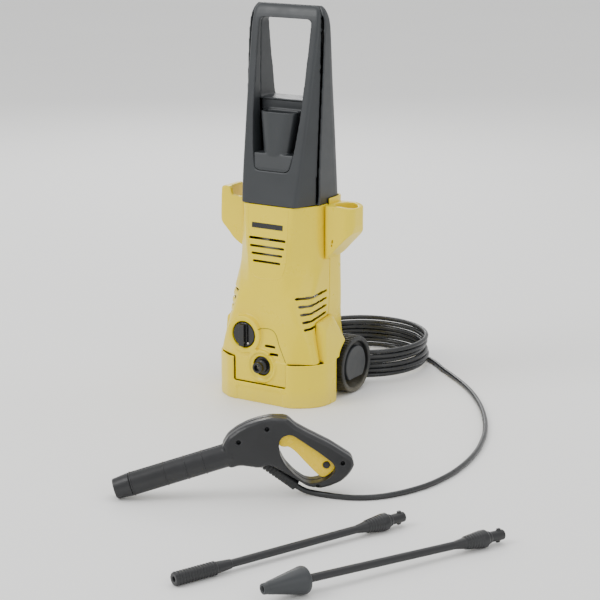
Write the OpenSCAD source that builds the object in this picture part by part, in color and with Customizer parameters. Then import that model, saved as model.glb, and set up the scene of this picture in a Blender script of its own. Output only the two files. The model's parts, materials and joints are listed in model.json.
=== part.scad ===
// Upright pressure washer with its hose, trigger gun and two lances.
// Frame: origin on the floor at the middle of the machine, +X to the machine's right as seen from the
// front, -Y to the front, +Z up. Millimetres.

/* [Base and wheels] */
// Width of the base tray
base_w = 186; // [160:1:220]
// Distance from the middle to the tray's front
base_front = 84; // [70:1:100]
// Distance from the middle to the tray's back
base_back = 75; // [70:1:90]
// Height of the base tray
base_h = 66; // [56:1:78]
// Wall of the base tray
base_wall = 3; // [2:0.5:4]
// Radius of a wheel
wheel_r = 44; // [38:0.5:52]
// Width of a wheel
wheel_w = 28; // [22:1:34]
// Distance of the axle behind the middle
axle_y = 41.5; // [36:0.5:48]
// Radius of the axle
axle_r = 5; // [4:0.5:6]

/* [Body covers] */
// Height of the body covers above the tray
cover_h = 232; // [195:1:280]
// Width of the body at its waist
body_w = 140; // [130:1:168]
// Distance from the middle to the body's front at its waist
body_front = 69; // [66:1:82]
// Distance from the middle to the body's back
body_back = 48; // [48:1:58]
// Wall of the covers
cover_wall = 2.5; // [2:0.5:3.5]
// Height of a vent slot
slot_h = 3; // [2:0.5:4]
// Radius of the switch knob
knob_r = 19.5; // [16:0.5:22]
// Gap between parts that are fitted together
gap = 0.3; // [0.2:0.05:0.4]

/* [Handle tower] */
// Height of the tower above the covers
tower_h = 290; // [240:1:350]
// Width of the tower
tower_w = 132; // [118:1:140]
// Half width of the grip opening at its top
grip_half = 45; // [38:1:48]
// Thickness of the grip bar
grip_bar = 20; // [16:1:26]
// Wall of the tower's shells
tower_wall = 3; // [2:0.5:4]

/* [Side holders] */
// Radius of the gun holder's hole
holder_r = 17; // [14:0.5:19]
// Reach of the holders from the body
holder_reach = 45; // [40:1:52]

/* [Motor and pump] */
// Radius of the motor housing
motor_r = 37; // [34:0.5:38]
// Length of the motor housing
motor_len = 108; // [90:1:112]
// Radius of the motor shaft
shaft_r = 5; // [4:0.5:6]
// Teeth on the pinion
pinion_teeth = 12; // [11:1:14]
// Teeth on the drive gear
gear_teeth = 46; // [40:1:48]
// Gear module
gear_module = 1.25; // [1.1:0.05:1.25]
// Radius of a piston
piston_r = 6; // [5:0.5:7]

/* [Hose] */
// Diameter of the hose
hose_d = 7.5; // [6:0.5:9]
// Radius of the coil's centre line
coil_r = 96; // [85:1:110]

/* [Gun] */
// Radius of the gun's barrel
barrel_r = 15.5; // [13:0.5:17]
// Radius of the lance socket in the muzzle
socket_r = 6.7; // [6:0.1:8]
// Travel of the trigger in degrees
trigger_travel = 9; // [7:0.5:10]

/* [Lances] */
// Length of the spray lance
spray_len = 335; // [300:1:380]
// Length of the rotor lance
rotor_len = 342; // [310:1:390]
// Radius of a lance tube
lance_r = 5; // [4:0.5:6]
// Radius of the rotor nozzle's cone
cone_r = 16.5; // [14:0.5:18]

/* [Hidden] */
$fn = 64;

yellow = "#EBDD27";
charcoal = "#3A3D3E";
black = "#1C1D1E";
steel = "#A9ADB0";
brass = "#B79B57";

// --- points and shells -------------------------------------------------------------------------

// Each corner of an outline replaced by a short curve that starts r before the corner. The first and
// last corners stay sharp when ends is true, where the outline meets its other half.
function rounded(poly, r, steps = 4, ends = false) = [
    for (i = [0 : len(poly) - 1])
        let (
            p = poly[i],
            a = poly[(i + len(poly) - 1) % len(poly)] - p,
            b = poly[(i + 1) % len(poly)] - p,
            reach_a = min(r, 0.45 * norm(a)) / norm(a),
            reach_b = min(r, 0.45 * norm(b)) / norm(b)
        )
        for (k = [0 : ends && (i == 0 || i == len(poly) - 1) ? 0 : steps])
            let (t = k / steps)
            ends && (i == 0 || i == len(poly) - 1) ? p
                : p + a * reach_a * (1 - t) * (1 - t) + b * reach_b * t * t
];

// A counter-clockwise outline moved inwards by w
function inset(poly, w) = [
    for (i = [0 : len(poly) - 1])
        let (
            p = poly[i],
            a = p - poly[(i + len(poly) - 1) % len(poly)],
            b = poly[(i + 1) % len(poly)] - p,
            na = [-a.y, a.x] / norm(a),
            nb = [-b.y, b.x] / norm(b)
        )
        p + (na + nb) * w / (1 + na * nb)
];

// Row of a table of levels at height t, with smooth curves between the rows. Column 0 is the height.
function row_index(table, t, i = 0) = i >= len(table) - 2 || t <= table[i + 1][0] ? i : row_index(table, t, i + 1);
function slope(table, i) =
    let (a = table[max(i - 1, 0)], b = table[min(i + 1, len(table) - 1)])
    (b - a) / (b[0] - a[0]);
function level(table, t) =
    let (
        i = row_index(table, t),
        a = table[i],
        b = table[i + 1],
        h = b[0] - a[0],
        u = (t - a[0]) / h
    )
    a * (1 + 2 * u) * (1 - u) * (1 - u) + b * u * u * (3 - 2 * u)
        + slope(table, i) * h * u * (1 - u) * (1 - u) + slope(table, i + 1) * h * u * u * (u - 1);

function at_height(poly, z) = [for (p = poly) [p.x, p.y, z]];
function reversed(points) = [for (i = [len(points) - 1 : -1 : 0]) points[i]];
// Whole outline from its right half, listed from the back or the top downwards
function symmetric(half) = concat([for (p = half) [-p.x, p.y]], reversed(half));

// Solid through a stack of rings with equal numbers of points, counter-clockwise seen from the last ring
module loft(rings) {
    n = len(rings[0]);
    last = len(rings) - 1;
    polyhedron(
        points = [for (ring = rings) each ring],
        faces = concat(
            [[for (i = [0 : n - 1]) i]],
            [[for (i = [n - 1 : -1 : 0]) last * n + i]],
            [for (k = [0 : last - 1]) for (i = [0 : n - 1]) [k * n + i, k * n + i + n, k * n + (i + 1) % n + n]],
            [for (k = [0 : last - 1]) for (i = [0 : n - 1]) [k * n + i, k * n + (i + 1) % n + n, k * n + (i + 1) % n]]
        ),
        convexity = 8
    );
}

// Round bar from one point to another, used for slots with round ends
module bar(a, b, r, sides = 8) {
    hull() {
        translate(a) sphere(r, $fn = sides);
        translate(b) sphere(r, $fn = sides);
    }
}

module along_y() { rotate([-90, 0, 0]) children(); }
module along_x() { rotate([0, 90, 0]) children(); }
module both_sides() {
    children();
    mirror([1, 0, 0]) children();
}

// --- base tray and wheels ----------------------------------------------------------------------

axle_z = wheel_r + 0.2;
base_half = base_w / 2;
tray_half = base_half - wheel_w - 1;      // between the wheels
arch_r = wheel_r + 5;
tray_notch = axle_y - arch_r;             // where the side blocks end, in front of the wheels
apron_half = 46;                          // half width of the cover's panel that reaches down into the tray
apron_z = 30;

tray_side = [
    [tray_half, base_back],
    [tray_half, tray_notch],
    [base_half, tray_notch],
    [base_half, tray_notch - 38],
    [base_half - 12, 18 - base_front],
    [base_half - 38, -base_front]
];
tray_outline = rounded(symmetric(tray_side), 9, 4);

// Corners of a mudguard over the front of a wheel, before the wheel's arch is cut from it
fender_top = base_h + 55;
fender_corners = [
    [base_half - 4, -42, 20], [base_half - 4, tray_notch - 4, 20], [tray_half + 8, -42, 20],
    [base_half - 9, -36, fender_top - 9], [base_half - 6, 14, base_h + 22], [tray_half + 12, 0, fender_top],
    [tray_half + 10, -36, fender_top], [tray_half + 6, tray_notch, 20], [tray_half + 6, 6, fender_top + 3],
    [tray_half + 6, 22, base_h + 30]
];
module fender(grow = 0) {
    difference() {
        hull() for (p = fender_corners) translate(p) sphere(4 + grow, $fn = 16);
        translate([tray_half - 10, axle_y, axle_z]) along_x() cylinder(r = arch_r - grow, h = wheel_w + 40);
        translate([0, -100, -1]) cube([base_half + 20, 300, base_h + 1 - grow]);
    }
}

module base_tray() {
    color(yellow) {
        difference() {
            linear_extrude(base_h) polygon(tray_outline);
            translate([0, 0, base_wall]) linear_extrude(base_h) polygon(inset(tray_outline, base_wall));
            // shallow recess low on the front
            translate([-42, -base_front - 1, -1]) cube([84, 1 + 1.5, 24]);
            // opening for the cover's front panel
            translate([-apron_half - gap, -base_front - 1, apron_z - gap])
                cube([2 * (apron_half + gap), base_wall + 2, base_h]);
            translate([outlet_x, base_back - 10, outlet_z]) along_y() cylinder(r = hose_nut_r + 1, h = 20);
            translate([-base_half, axle_y, axle_z]) along_x() cylinder(r = axle_r + gap, h = base_w);
        }
        // posts under the pump head
        for (x = [-1, 1]) for (y = [-1, 1])
            translate([pump_axis.x - 4 + x * (head_half.x - 7), pump_axis.y + y * (head_half.y - 7), base_wall - 0.5])
                cylinder(r = 5, h = head_z - base_wall + 0.5);
        // axle blocks inside the tray
        both_sides() difference() {
            translate([tray_half - base_wall - 9, axle_y - 10, base_wall - 0.5]) cube([9.5, 20, axle_z + 8]);
            translate([tray_half - base_wall - 20, axle_y, axle_z]) along_x() cylinder(r = axle_r + 0.05, h = 40);
        }
        both_sides() difference() {
            fender();
            translate([-4, 0, -4]) fender_core();
        }
    }
}

// Inside of the mudguard
module fender_core() {
    difference() {
        hull() for (p = fender_corners) translate(p) sphere(2, $fn = 12);
        translate([tray_half - 10, axle_y, axle_z]) along_x() cylinder(r = arch_r + 4, h = wheel_w + 40);
    }
}

hub_r = 11;
rim_in = wheel_r - 8;
wheel_x = base_half - wheel_w + 3;        // inner side of the wheel
window_z = -21;                           // top of the see-through window in the wheel

// A wheel with its inner side at x = 0 and its axis on X
module wheel() {
    difference() {
        union() {
            along_x() difference() {
                rotate([0, 0, 90]) cylinder(r = wheel_r, h = wheel_w, $fn = 96);
                translate([0, 0, -1]) cylinder(r = rim_in, h = wheel_w + 2, $fn = 96);
            }
            translate([wheel_w - 12, 0, 0]) along_x() cylinder(r = rim_in + 1, h = 5);
            along_x() cylinder(r = hub_r, h = wheel_w - 7);
        }
        along_x() translate([0, 0, -1]) cylinder(r = axle_r + 0.08, h = wheel_w + 2);
        // window between the face and the rim
        intersection() {
            translate([wheel_w - 20, -rim_in, -rim_in]) cube([30, 2 * rim_in, rim_in + window_z]);
            translate([wheel_w - 20, 0, 0]) along_x() cylinder(r = rim_in - 2, h = 30);
        }
    }
}

cap_r = 30;
module wheel_cap() {
    intersection() {
        translate([wheel_w - 7, 0, 0]) along_x() difference() {
            cylinder(r1 = cap_r, r2 = cap_r - 1.5, h = 6);
            translate([0, 0, -1]) cylinder(r = axle_r + 3, h = 4);
        }
        translate([wheel_w - 10, -cap_r, window_z]) cube([20, 2 * cap_r, 3 * cap_r]);
    }
}

module at_wheel() { translate([wheel_x, axle_y, axle_z]) children(); }
module wheel_right() { color(black) at_wheel() wheel(); }
module wheel_left() { mirror([1, 0, 0]) color(black) at_wheel() wheel(); }
module wheel_cap_right() { color(charcoal) at_wheel() wheel_cap(); }
module wheel_cap_left() { mirror([1, 0, 0]) color(charcoal) at_wheel() wheel_cap(); }

axle_half = wheel_x + wheel_w - 6.4;
module axle() {
    color(steel) translate([-axle_half, axle_y, axle_z]) along_x() cylinder(r = axle_r, h = 2 * axle_half);
}
module axle_clips() {
    color(steel) both_sides() translate([wheel_x - 2.2, axle_y, axle_z]) along_x() difference() {
        cylinder(r = axle_r + 2.5, h = 1.6);
        translate([0, 0, -1]) cylinder(r = axle_r, h = 4);
    }
}

// --- body covers -------------------------------------------------------------------------------

cover_top = base_h + cover_h;
body_half = body_w / 2;
seam_y = 3;                               // plane between the front and the rear cover

// Front cover by height: height as a share of the cover, front y, half width of the front panel,
// x and y of the corner beside it, x and y of the bend on the side, x at the seam.
front_levels = [
    [0, 10, 50, 12, 7, 16, 17, -7],
    [0.13, 7, 48, 5, 7, 8, 18, -6],
    [0.23, 3, 40, -8, 1, 3, 17, -3],
    [0.385, 0, 30, -24, 0, 0, 21, 0],
    [0.56, -5, 31, -10, 27, -0.5, 41, 0],
    [0.65, -7, 33, -4, 39, -1, 54, 0],
    [0.78, -8.5, 38, -4, 42, -2, 57, -1],
    [1, -11.5, 43, -7, 47, -4, 59, -2]
];
function front_outline(z, w = 0) =
    let (
        v = level(front_levels, (z - base_h) / cover_h),
        half = [
            [body_half + v[7], seam_y + (w > 0 ? 5 : 0)],
            [body_half + v[5], v[6] - body_front],
            [body_half + v[3], v[4] - body_front],
            [v[2], -body_front - v[1]]
        ]
    )
    rounded(inset(symmetric(half), w), 7, 3, true);

// Rear cover by height: share of the height, y of the back, x of the side at the seam
rear_levels = [
    [0, 25, -7],
    [0.13, 14, -6],
    [0.23, 7, -3],
    [0.385, 2, 0],
    [0.65, 0, 0],
    [1.04, 0, 0]
];
rear_top = cover_top + 8;
function rear_outline(z, w = 0) =
    let (
        v = level(rear_levels, (z - base_h) / cover_h),
        x = body_half + v[2],
        y = body_back + v[1]
    )
    rounded(inset([[x, seam_y - (w > 0 ? 5 : 0)], [x, y], [-x, y], [-x, seam_y - (w > 0 ? 5 : 0)]], w), 20, 6, true);

cover_steps = 20;
module front_body(w = 0) {
    extra = w > 0 ? 1 : 0;
    loft([for (k = [0 : cover_steps])
        let (z = base_h + cover_h * k / cover_steps)
        at_height(front_outline(z, w), z + (k == 0 ? -extra : k == cover_steps ? extra : 0))]);
}
module rear_body(w = 0) {
    extra = w > 0 ? 1 : 0;
    h = rear_top - base_h;
    intersection() {
        loft([for (k = [0 : cover_steps])
            let (z = base_h + h * k / cover_steps)
            at_height(rear_outline(z, w), z + (k == 0 ? -extra : k == cover_steps ? extra : 0))]);
        translate([-200, w > 0 ? -20 : seam_y + 0.2, 0]) cube([400, 200, 400 + rear_top]);
    }
}

knob_x = -29;
knob_z = base_h + 36;
knob_y = -body_front - 7;                 // plane of the cover behind the knob
inlet_x = 2.6;
inlet_z = base_h - 8.5;
apron_y = 4 - base_front;                 // front plane of the panel below the covers

// Vent slots: height, x of both ends
front_slots = [[0.782, 32], [0.731, 30], [0.683, 27], [0.634, 24]];
low_slots = [[0.097, 6, 24], [0.049, -1, 30], [0.004, 12, 36], [0.004, -31, -4]];
side_slots = [0.416, 0.366, 0.317, 0.268, 0.222];

module vent_cuts() {
    for (s = front_slots)
        bar([-s[1], -body_front, base_h + s[0] * cover_h], [s[1], -body_front, base_h + s[0] * cover_h], slot_h / 2);
    for (s = front_slots)
        translate([-s[1], -body_front - 20, base_h + s[0] * cover_h - slot_h / 2]) cube([2 * s[1], 36, slot_h]);
    for (s = low_slots)
        translate([s[1], -body_front - 25, base_h + s[0] * cover_h - slot_h / 2])
            cube([s[2] - s[1], 30, slot_h]);
    for (s = side_slots) both_sides()
        translate([body_half - 22, -62, base_h + s * cover_h]) rotate([5, 0, 0])
            translate([0, 0, -slot_h / 2]) cube([60, 58, slot_h]);
}

module front_cover() {
    color(yellow) difference() {
        union() {
            difference() {
                front_body();
                front_body(cover_wall);
                vent_cuts();
            }
            // panel that reaches down into the tray
            translate([-apron_half, apron_y, apron_z]) cube([2 * apron_half, cover_wall, base_h - apron_z + 0.6]);
            // ring round the switch knob
            intersection() {
                translate([knob_x, knob_y - 6, knob_z]) along_y() cylinder(r = knob_r + 9, h = 14);
                difference() {
                    translate([-100, -body_front - 30, 0]) cube([200, 60, cover_top]);
                    front_body(cover_wall);
                }
            }
            // ring round the water inlet
            translate([inlet_x, apron_y - 2.5, inlet_z]) along_y() cylinder(r = 25, h = 4);
            screw_posts();
        }
        translate([knob_x, knob_y - 20, knob_z]) along_y() cylinder(r = knob_r + 0.8, h = 40);
        translate([inlet_x, apron_y - 10, inlet_z]) along_y() cylinder(r = inlet_nut_r + 0.8, h = 30);
        translate([inlet_x, apron_y - 10, inlet_z]) along_y() cylinder(r = 21, h = 9.5);
        both_sides() fender(gap);
        translate([-200, seam_y, -10]) cube([400, 200, 500]);
    }
}

// Posts for the cover screws, inside the covers
screw_r = 2;
screw_z = [base_h + 40, base_h + 0.5 * cover_h, cover_top - 30];
function screw_x(z) = body_half + level(rear_levels, (z - base_h) / cover_h)[2] - 7.5;
module screw_posts() {
    for (z = screw_z) both_sides()
        difference() {
            translate([screw_x(z), seam_y - 18, z]) along_y() cylinder(r = 5, h = 18, $fn = 24);
            translate([screw_x(z), seam_y - 13, z]) along_y() cylinder(r = screw_r + 0.15, h = 20, $fn = 16);
        }
}
screw_back = 22;                          // depth of a screw's head behind the seam
module rear_cover() {
    color(yellow) difference() {
        union() {
            difference() {
                rear_body();
                rear_body(cover_wall);
                // vents at the back
                for (k = [0 : 7])
                    translate([-24, body_back - 8, base_h + cover_h * (0.4 + 0.05 * k) - slot_h / 2])
                        cube([48, 20, slot_h]);
            }
            for (z = screw_z) both_sides()
                translate([screw_x(z), seam_y + 0.2, z]) along_y() cylinder(r = 5, h = screw_back, $fn = 24);
        }
        for (z = screw_z) both_sides() {
            translate([screw_x(z), seam_y - 1, z]) along_y() cylinder(r = screw_r + 0.3, h = 60, $fn = 16);
            translate([screw_x(z), seam_y + screw_back - 3, z]) along_y() cylinder(r = 4, h = 60, $fn = 24);
        }
        translate([gland_x, body_back, gland_z]) along_y() cylinder(r = gland_r + 0.2, h = 30, center = true);
        translate([outlet_x, base_back - 20, outlet_z]) along_y() cylinder(r = hose_nut_r + 1, h = 30);
        both_sides() fender(gap);
    }
}

module cover_screws() {
    color(steel) for (z = screw_z) both_sides()
        translate([screw_x(z), seam_y, z]) along_y() {
            translate([0, 0, -11]) cylinder(r = screw_r, h = screw_back + 8.5);
            translate([0, 0, screw_back - 2.6]) cylinder(r = 3.6, h = 2.2);
        }
}

// --- handle tower ------------------------------------------------------------------------------

tower_foot = cover_top + gap;
tower_top = tower_foot + tower_h;
// Front shell by share of the height: front y, half width of the front, half width at the seam, seam y
tower_levels = [
    [0, -57.5, 47, 61, -20],
    [0.17, -48.5, 50.5, 61.5, -18.5],
    [0.35, -39.3, 52.5, 62, -15.5],
    [0.52, -30.5, 54.5, 62, -12],
    [0.7, -21.2, 56, 61.5, -8.5],
    [0.87, -12.4, 57, 60.5, -5],
    [0.93, -9, 56, 59.5, -3],
    [0.97, -5.5, 53.5, 57.5, -1],
    [0.99, -2.2, 50.5, 54.5, 1.2],
    [1, 0.8, 47.5, 51.5, 2.4]
];
// Rear shell by share of the height: half width, back y
tower_back_levels = [
    [0, 66, 44],
    [0.3, 66, 36.5],
    [0.6, 66, 28],
    [0.87, 66, 19],
    [0.93, 64.5, 17],
    [0.97, 61, 13.5],
    [0.99, 57.5, 10],
    [1, 54.5, 7]
];
tower_steps = [0, 0.06, 0.12, 0.17, 0.24, 0.3, 0.35, 0.42, 0.48, 0.54, 0.6, 0.66, 0.72, 0.78, 0.83,
    0.87, 0.9, 0.93, 0.95, 0.97, 0.98, 0.99, 1];
tower_scale = tower_w / 132;
function tower_front_outline(s, w = 0) =
    let (v = level(tower_levels, s), k = tower_scale)
    rounded(inset([
        [-v[3] * k, v[4] + (w > 0 ? 4 : 0)],
        [-v[2] * k, v[1]],
        [v[2] * k, v[1]],
        [v[3] * k, v[4] + (w > 0 ? 4 : 0)]
    ], w), 5, 3, true);
function tower_rear_outline(s, w = 0) =
    let (v = level(tower_back_levels, s), k = tower_scale, y = level(tower_levels, s)[4] + 0.2)
    rounded(inset([
        [v[1] * k, y - (w > 0 ? 4 : 0)],
        [v[1] * k, v[2]],
        [-v[1] * k, v[2]],
        [-v[1] * k, y - (w > 0 ? 4 : 0)]
    ], w), 17, 5, true);

function tower_z(s) = tower_foot + s * tower_h;
module tower_front_body(w = 0) {
    loft([for (s = tower_steps) if (w == 0 || s <= 0.95)
        at_height(tower_front_outline(s, w), tower_z(s) + (w > 0 ? (s == 0 ? tower_wall : 0) : 0))]);
}
module tower_rear_body(w = 0) {
    loft([for (s = tower_steps) if (w == 0 || s <= 0.95)
        at_height(tower_rear_outline(s, w), tower_z(s) + (w > 0 ? (s == 0 ? tower_wall : 0) : 0))]);
}

grip_top = tower_top - grip_bar;          // top of the grip opening
recess_foot = tower_foot + 0.17 * tower_h;
pocket_rim = tower_foot + 0.515 * tower_h;
// Opening in the front, as x and z. It narrows slowly and then closes in a rounded end.
grip_side = [
    [grip_half, grip_top],
    [grip_half - 1.5, tower_foot + 0.7 * tower_h],
    [grip_half - 4, tower_foot + 0.45 * tower_h],
    [grip_half - 9, tower_foot + 0.28 * tower_h],
    [grip_half - 15, recess_foot]
];
grip_outline = rounded(symmetric(grip_side), 9, 4);
module grip_prism(grow = 0, depth = 300) {
    translate([0, depth / 2, 0]) rotate([90, 0, 0]) linear_extrude(depth) polygon(inset(grip_outline, -grow));
}

// Neck below a tower shell, which sits inside the covers
neck_h = 12;
module neck(outline) {
    clear = cover_wall + gap + 1.5;
    translate([0, 0, tower_foot - neck_h]) linear_extrude(neck_h + 0.5) difference() {
        offset(delta = -clear) polygon(outline);
        offset(delta = -clear - tower_wall) polygon(outline);
    }
}

module tower_front() {
    color(charcoal) difference() {
        union() {
            difference() {
                tower_front_body();
                difference() {
                    tower_front_body(tower_wall);
                    grip_prism(tower_wall);
                }
            }
            intersection() {
                neck(tower_front_outline(0));
                translate([-36, -100, 0]) cube([72, 100 + level(tower_levels, 0)[4] - 3, 600]);
            }
        }
        grip_prism();
    }
}

// Part of the grip opening above the pocket, where it goes right through
module grip_through(grow = 0) {
    intersection() {
        grip_prism(grow);
        translate([-100, -100, pocket_rim + 3 - grow]) cube([200, 200, 400]);
    }
}
module tower_rear() {
    color(charcoal) difference() {
        union() {
            difference() {
                tower_rear_body();
                difference() {
                    tower_rear_body(tower_wall);
                    grip_through(tower_wall);
                }
            }
            // tongue that plugs into the covers
            intersection() {
                neck(tower_rear_outline(0));
                translate([-100, seam_y, 0]) cube([200, 100, 600]);
            }
        }
        grip_through();
    }
}

// Tapered open pocket in the grip opening for a spare nozzle
pocket_wall = 2.5;
pocket_foot = tower_foot + 0.25 * tower_h;
pocket_front_low = -43;
pocket_front_high = -36;
pocket_back_y = -9;
function pocket_ring(z, w = 0) =
    let (
        s = (z - pocket_foot) / (pocket_rim - pocket_foot),
        half = 22 + 10 * s,
        front = pocket_front_low + (pocket_front_high - pocket_front_low) * s
    )
    rounded(inset([[-half, pocket_back_y], [-half, front + 7], [-half + 12, front], [half - 12, front],
        [half, front + 7], [half, pocket_back_y]], w), 6, 3);
module nozzle_pocket() {
    color(charcoal) {
        difference() {
            loft([for (z = [pocket_foot, pocket_rim - 14]) at_height(pocket_ring(z), z)]);
            loft([at_height(pocket_ring(pocket_foot, pocket_wall), pocket_foot + pocket_wall),
                at_height(pocket_ring(pocket_rim, pocket_wall), pocket_rim)]);
        }
        // sloped ledge below the pocket and plate behind it, inside the grip opening
        intersection() {
            grip_prism(-gap);
            union() {
                translate([-60, pocket_back_y - 0.01, recess_foot - 4])
                    cube([120, pocket_wall, pocket_rim - recess_foot + 4]);
                translate([-60, 0, 0]) rotate([90, 0, 90]) linear_extrude(120) polygon([
                    [pocket_back_y + 0.5, recess_foot - 3], [pocket_back_y + 0.5, pocket_foot + 2],
                    [pocket_front_low + 1, pocket_foot + 2], [pocket_front_low - 5, recess_foot + 4],
                    [pocket_front_low - 5, recess_foot - 3]]);
            }
        }
    }
}

// --- side holders ------------------------------------------------------------------------------

holder_top = cover_top;
holder_x = body_half + gap;               // side of the body that the holders stand against
holder_centre = [holder_x + holder_reach / 2 + 1.5, 10];
holder_foot = cover_top - 78;
holder_depth = 40;
holder_plan = rounded([[holder_x, -14], [holder_x + holder_reach - 9, -14], [holder_x + holder_reach, -3],
    [holder_x + holder_reach, 26], [holder_x + holder_reach - 9, 35], [holder_x, 35]], 6, 4);
module gun_holder() {
    color(yellow) difference() {
        intersection() {
            translate([0, 0, holder_foot - 10]) linear_extrude(holder_top - holder_foot + 10) polygon(holder_plan);
            translate([0, 60, 0]) rotate([90, 0, 0]) linear_extrude(120) polygon([
                [holder_x, holder_foot - 5], [holder_x + 6, holder_foot],
                [holder_x + holder_reach - 2, holder_top - 40], [holder_x + holder_reach, holder_top - 30],
                [holder_x + holder_reach, holder_top - 3], [holder_x + holder_reach - 16, holder_top],
                [holder_x, holder_top + 4]]);
        }
        translate([holder_centre.x, holder_centre.y, holder_top - holder_depth]) cylinder(r = holder_r, h = 60);
        translate([holder_x + 11, 60, holder_foot + 14]) rotate([90, 0, 0]) linear_extrude(120)
            polygon([[0, 0], [2.5, 3], [4.5, 14], [2, 14]]);
    }
}

hook_top = cover_top + 12;
module hose_hook() {
    color(yellow) mirror([1, 0, 0]) difference() {
        intersection() {
            translate([0, 0, holder_foot - 10]) linear_extrude(hook_top - holder_foot + 10)
                polygon(rounded([[holder_x, -14], [holder_x + holder_reach, -14],
                    [holder_x + holder_reach, 26], [holder_x, 26]], 5, 4));
            translate([0, 60, 0]) rotate([90, 0, 0]) linear_extrude(120) polygon(rounded([
                [holder_x, holder_foot - 2], [holder_x + 18, holder_foot + 8],
                [holder_x + holder_reach, holder_foot + 36], [holder_x + holder_reach - 3, hook_top],
                [holder_x + holder_reach - 20, hook_top], [holder_x + holder_reach - 21, cover_top - 2],
                [holder_x, cover_top - 2]], 6, 4));
        }
        // trough for the hose behind the front web
        translate([0, 60, 0]) rotate([90, 0, 0]) linear_extrude(66) polygon(rounded([
            [holder_x + 5, holder_foot + 38], [holder_x + holder_reach - 16, holder_foot + 38],
            [holder_x + holder_reach - 16, hook_top + 20], [holder_x + 5, hook_top + 20]], 5, 4));
    }
}

// --- switch ------------------------------------------------------------------------------------

module at_knob() { translate([knob_x, knob_y, knob_z]) along_y() children(); }
module switch_knob() {
    color(black) at_knob() difference() {
        union() {
            translate([0, 0, -5]) cylinder(r1 = knob_r - 1.5, r2 = knob_r, h = 2);
            translate([0, 0, -3]) cylinder(r = knob_r, h = 9);
            // raised grip across the face
            translate([-4.5, -knob_r + 3, -12]) cube([9, 2 * knob_r - 6, 9]);
        }
        translate([0, 0, 0]) cylinder(r = 3.05, h = 20);
    }
}
module knob_marker() {
    color("white") at_knob() translate([8, knob_r - 7, -5.8]) cylinder(r = 1.5, h = 0.8, $fn = 32);
}
module switch_shaft() {
    color(steel) at_knob() translate([0, 0, 0.05]) cylinder(r = 3, h = 21);
}
module switch_box() {
    color(black) at_knob() difference() {
        translate([-16, -16, 8]) cube([32, 32, 22]);
        translate([0, 0, 7]) cylinder(r = 3.08, h = 16);
    }
}

// --- pump and motor ----------------------------------------------------------------------------

pump_axis = [16, -4];
gear_centre = (pinion_teeth + gear_teeth) * gear_module / 2;
motor_axis = [pump_axis.x - gear_centre, pump_axis.y];
head_z = base_h - 26;                     // underside of the pump head
head_h = 34;
block_z = head_z + head_h;                // underside of the cylinder block
block_h = 24;
case_z = block_z + block_h;               // underside of the gear case
case_h = 52;
motor_z = case_z + case_h;                // underside of the motor
piston_ring = 18;                         // distance of the pistons from the pump axis
plate_tilt = 8;
plate_z = case_z + 17;                    // middle of the tilted plate
gear_z = case_z + 28;
gear_h = 9;
pump_shaft_r = 6;

module at_pump(z) { translate([pump_axis.x, pump_axis.y, z]) children(); }
module at_motor(z) { translate([motor_axis.x, motor_axis.y, z]) children(); }

head_half = [36, 30];
stop_x = 18;                              // automatic stop valve beside the pump axis
outlet_x = -14;
outlet_z = 62;
hose_nut_r = 8;
module pump_head() {
    color(steel) difference() {
        translate([pump_axis.x - 4 - head_half.x, pump_axis.y - head_half.y, head_z])
            cube([2 * head_half.x, 2 * head_half.y, head_h]);
        // inlet and outlet ports
        translate([inlet_x, pump_axis.y - head_half.y - 1, inlet_z]) along_y() cylinder(r = 7, h = 13);
        translate([outlet_x, pump_axis.y + head_half.y - 12, outlet_z]) along_y() cylinder(r = 5, h = 13);
        at_pump(head_z - 1) translate([stop_x, 0, 0]) cylinder(r = 5, h = 20);
    }
}
module stop_valve() {
    color(brass) at_pump(head_z - 7) translate([stop_x, 0, 0]) {
        cylinder(r = 4.95, h = 20);
        cylinder(r = 8, h = 6.8);
    }
}
module cylinder_block() {
    color(steel) at_pump(block_z) difference() {
        cylinder(r = 30, h = block_h);
        for (a = [0 : 120 : 359]) rotate(a) translate([piston_ring, 0, 4])
            cylinder(r = piston_r + 0.05, h = block_h);
        translate([0, 0, block_h - 6]) cylinder(r = bearing_r, h = 7);
    }
}
piston_top = plate_z - 7.6;
module pistons() {
    color("#D0D2D4") at_pump(0) for (a = [0 : 120 : 359]) rotate(a) translate([piston_ring, 0, 0]) {
        translate([0, 0, block_z + 8]) cylinder(r = piston_r, h = piston_top - block_z - 8);
        translate([0, 0, piston_top - 2]) cylinder(r = piston_r + 2.4, h = 2);
    }
}
// Each piston's spring drawn as separate rings between the block and the piston's collar
module piston_springs() {
    color(steel) at_pump(0) for (a = [0 : 120 : 359]) rotate(a) translate([piston_ring, 0, case_z]) {
        free = piston_top - 2 - case_z;
        for (k = [0 : 2]) translate([0, 0, 0.8 + k * (free - 1.6) / 2]) rotate_extrude($fn = 32)
            translate([piston_r + 1.3, 0]) circle(r = 0.7, $fn = 16);
    }
}
module wobble_plate() {
    color(steel) at_pump(0) difference() {
        union() {
            translate([0, 0, plate_z]) rotate([plate_tilt, 0, 0]) cylinder(r = 25, h = 5, center = true);
            translate([0, 0, plate_z - 2]) cylinder(r = 10, h = gear_z - plate_z + 1.9);
        }
        translate([0, 0, plate_z - 20]) cylinder(r = pump_shaft_r, h = 60);
    }
}

tooth_depth = 2.25 * gear_module;
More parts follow.
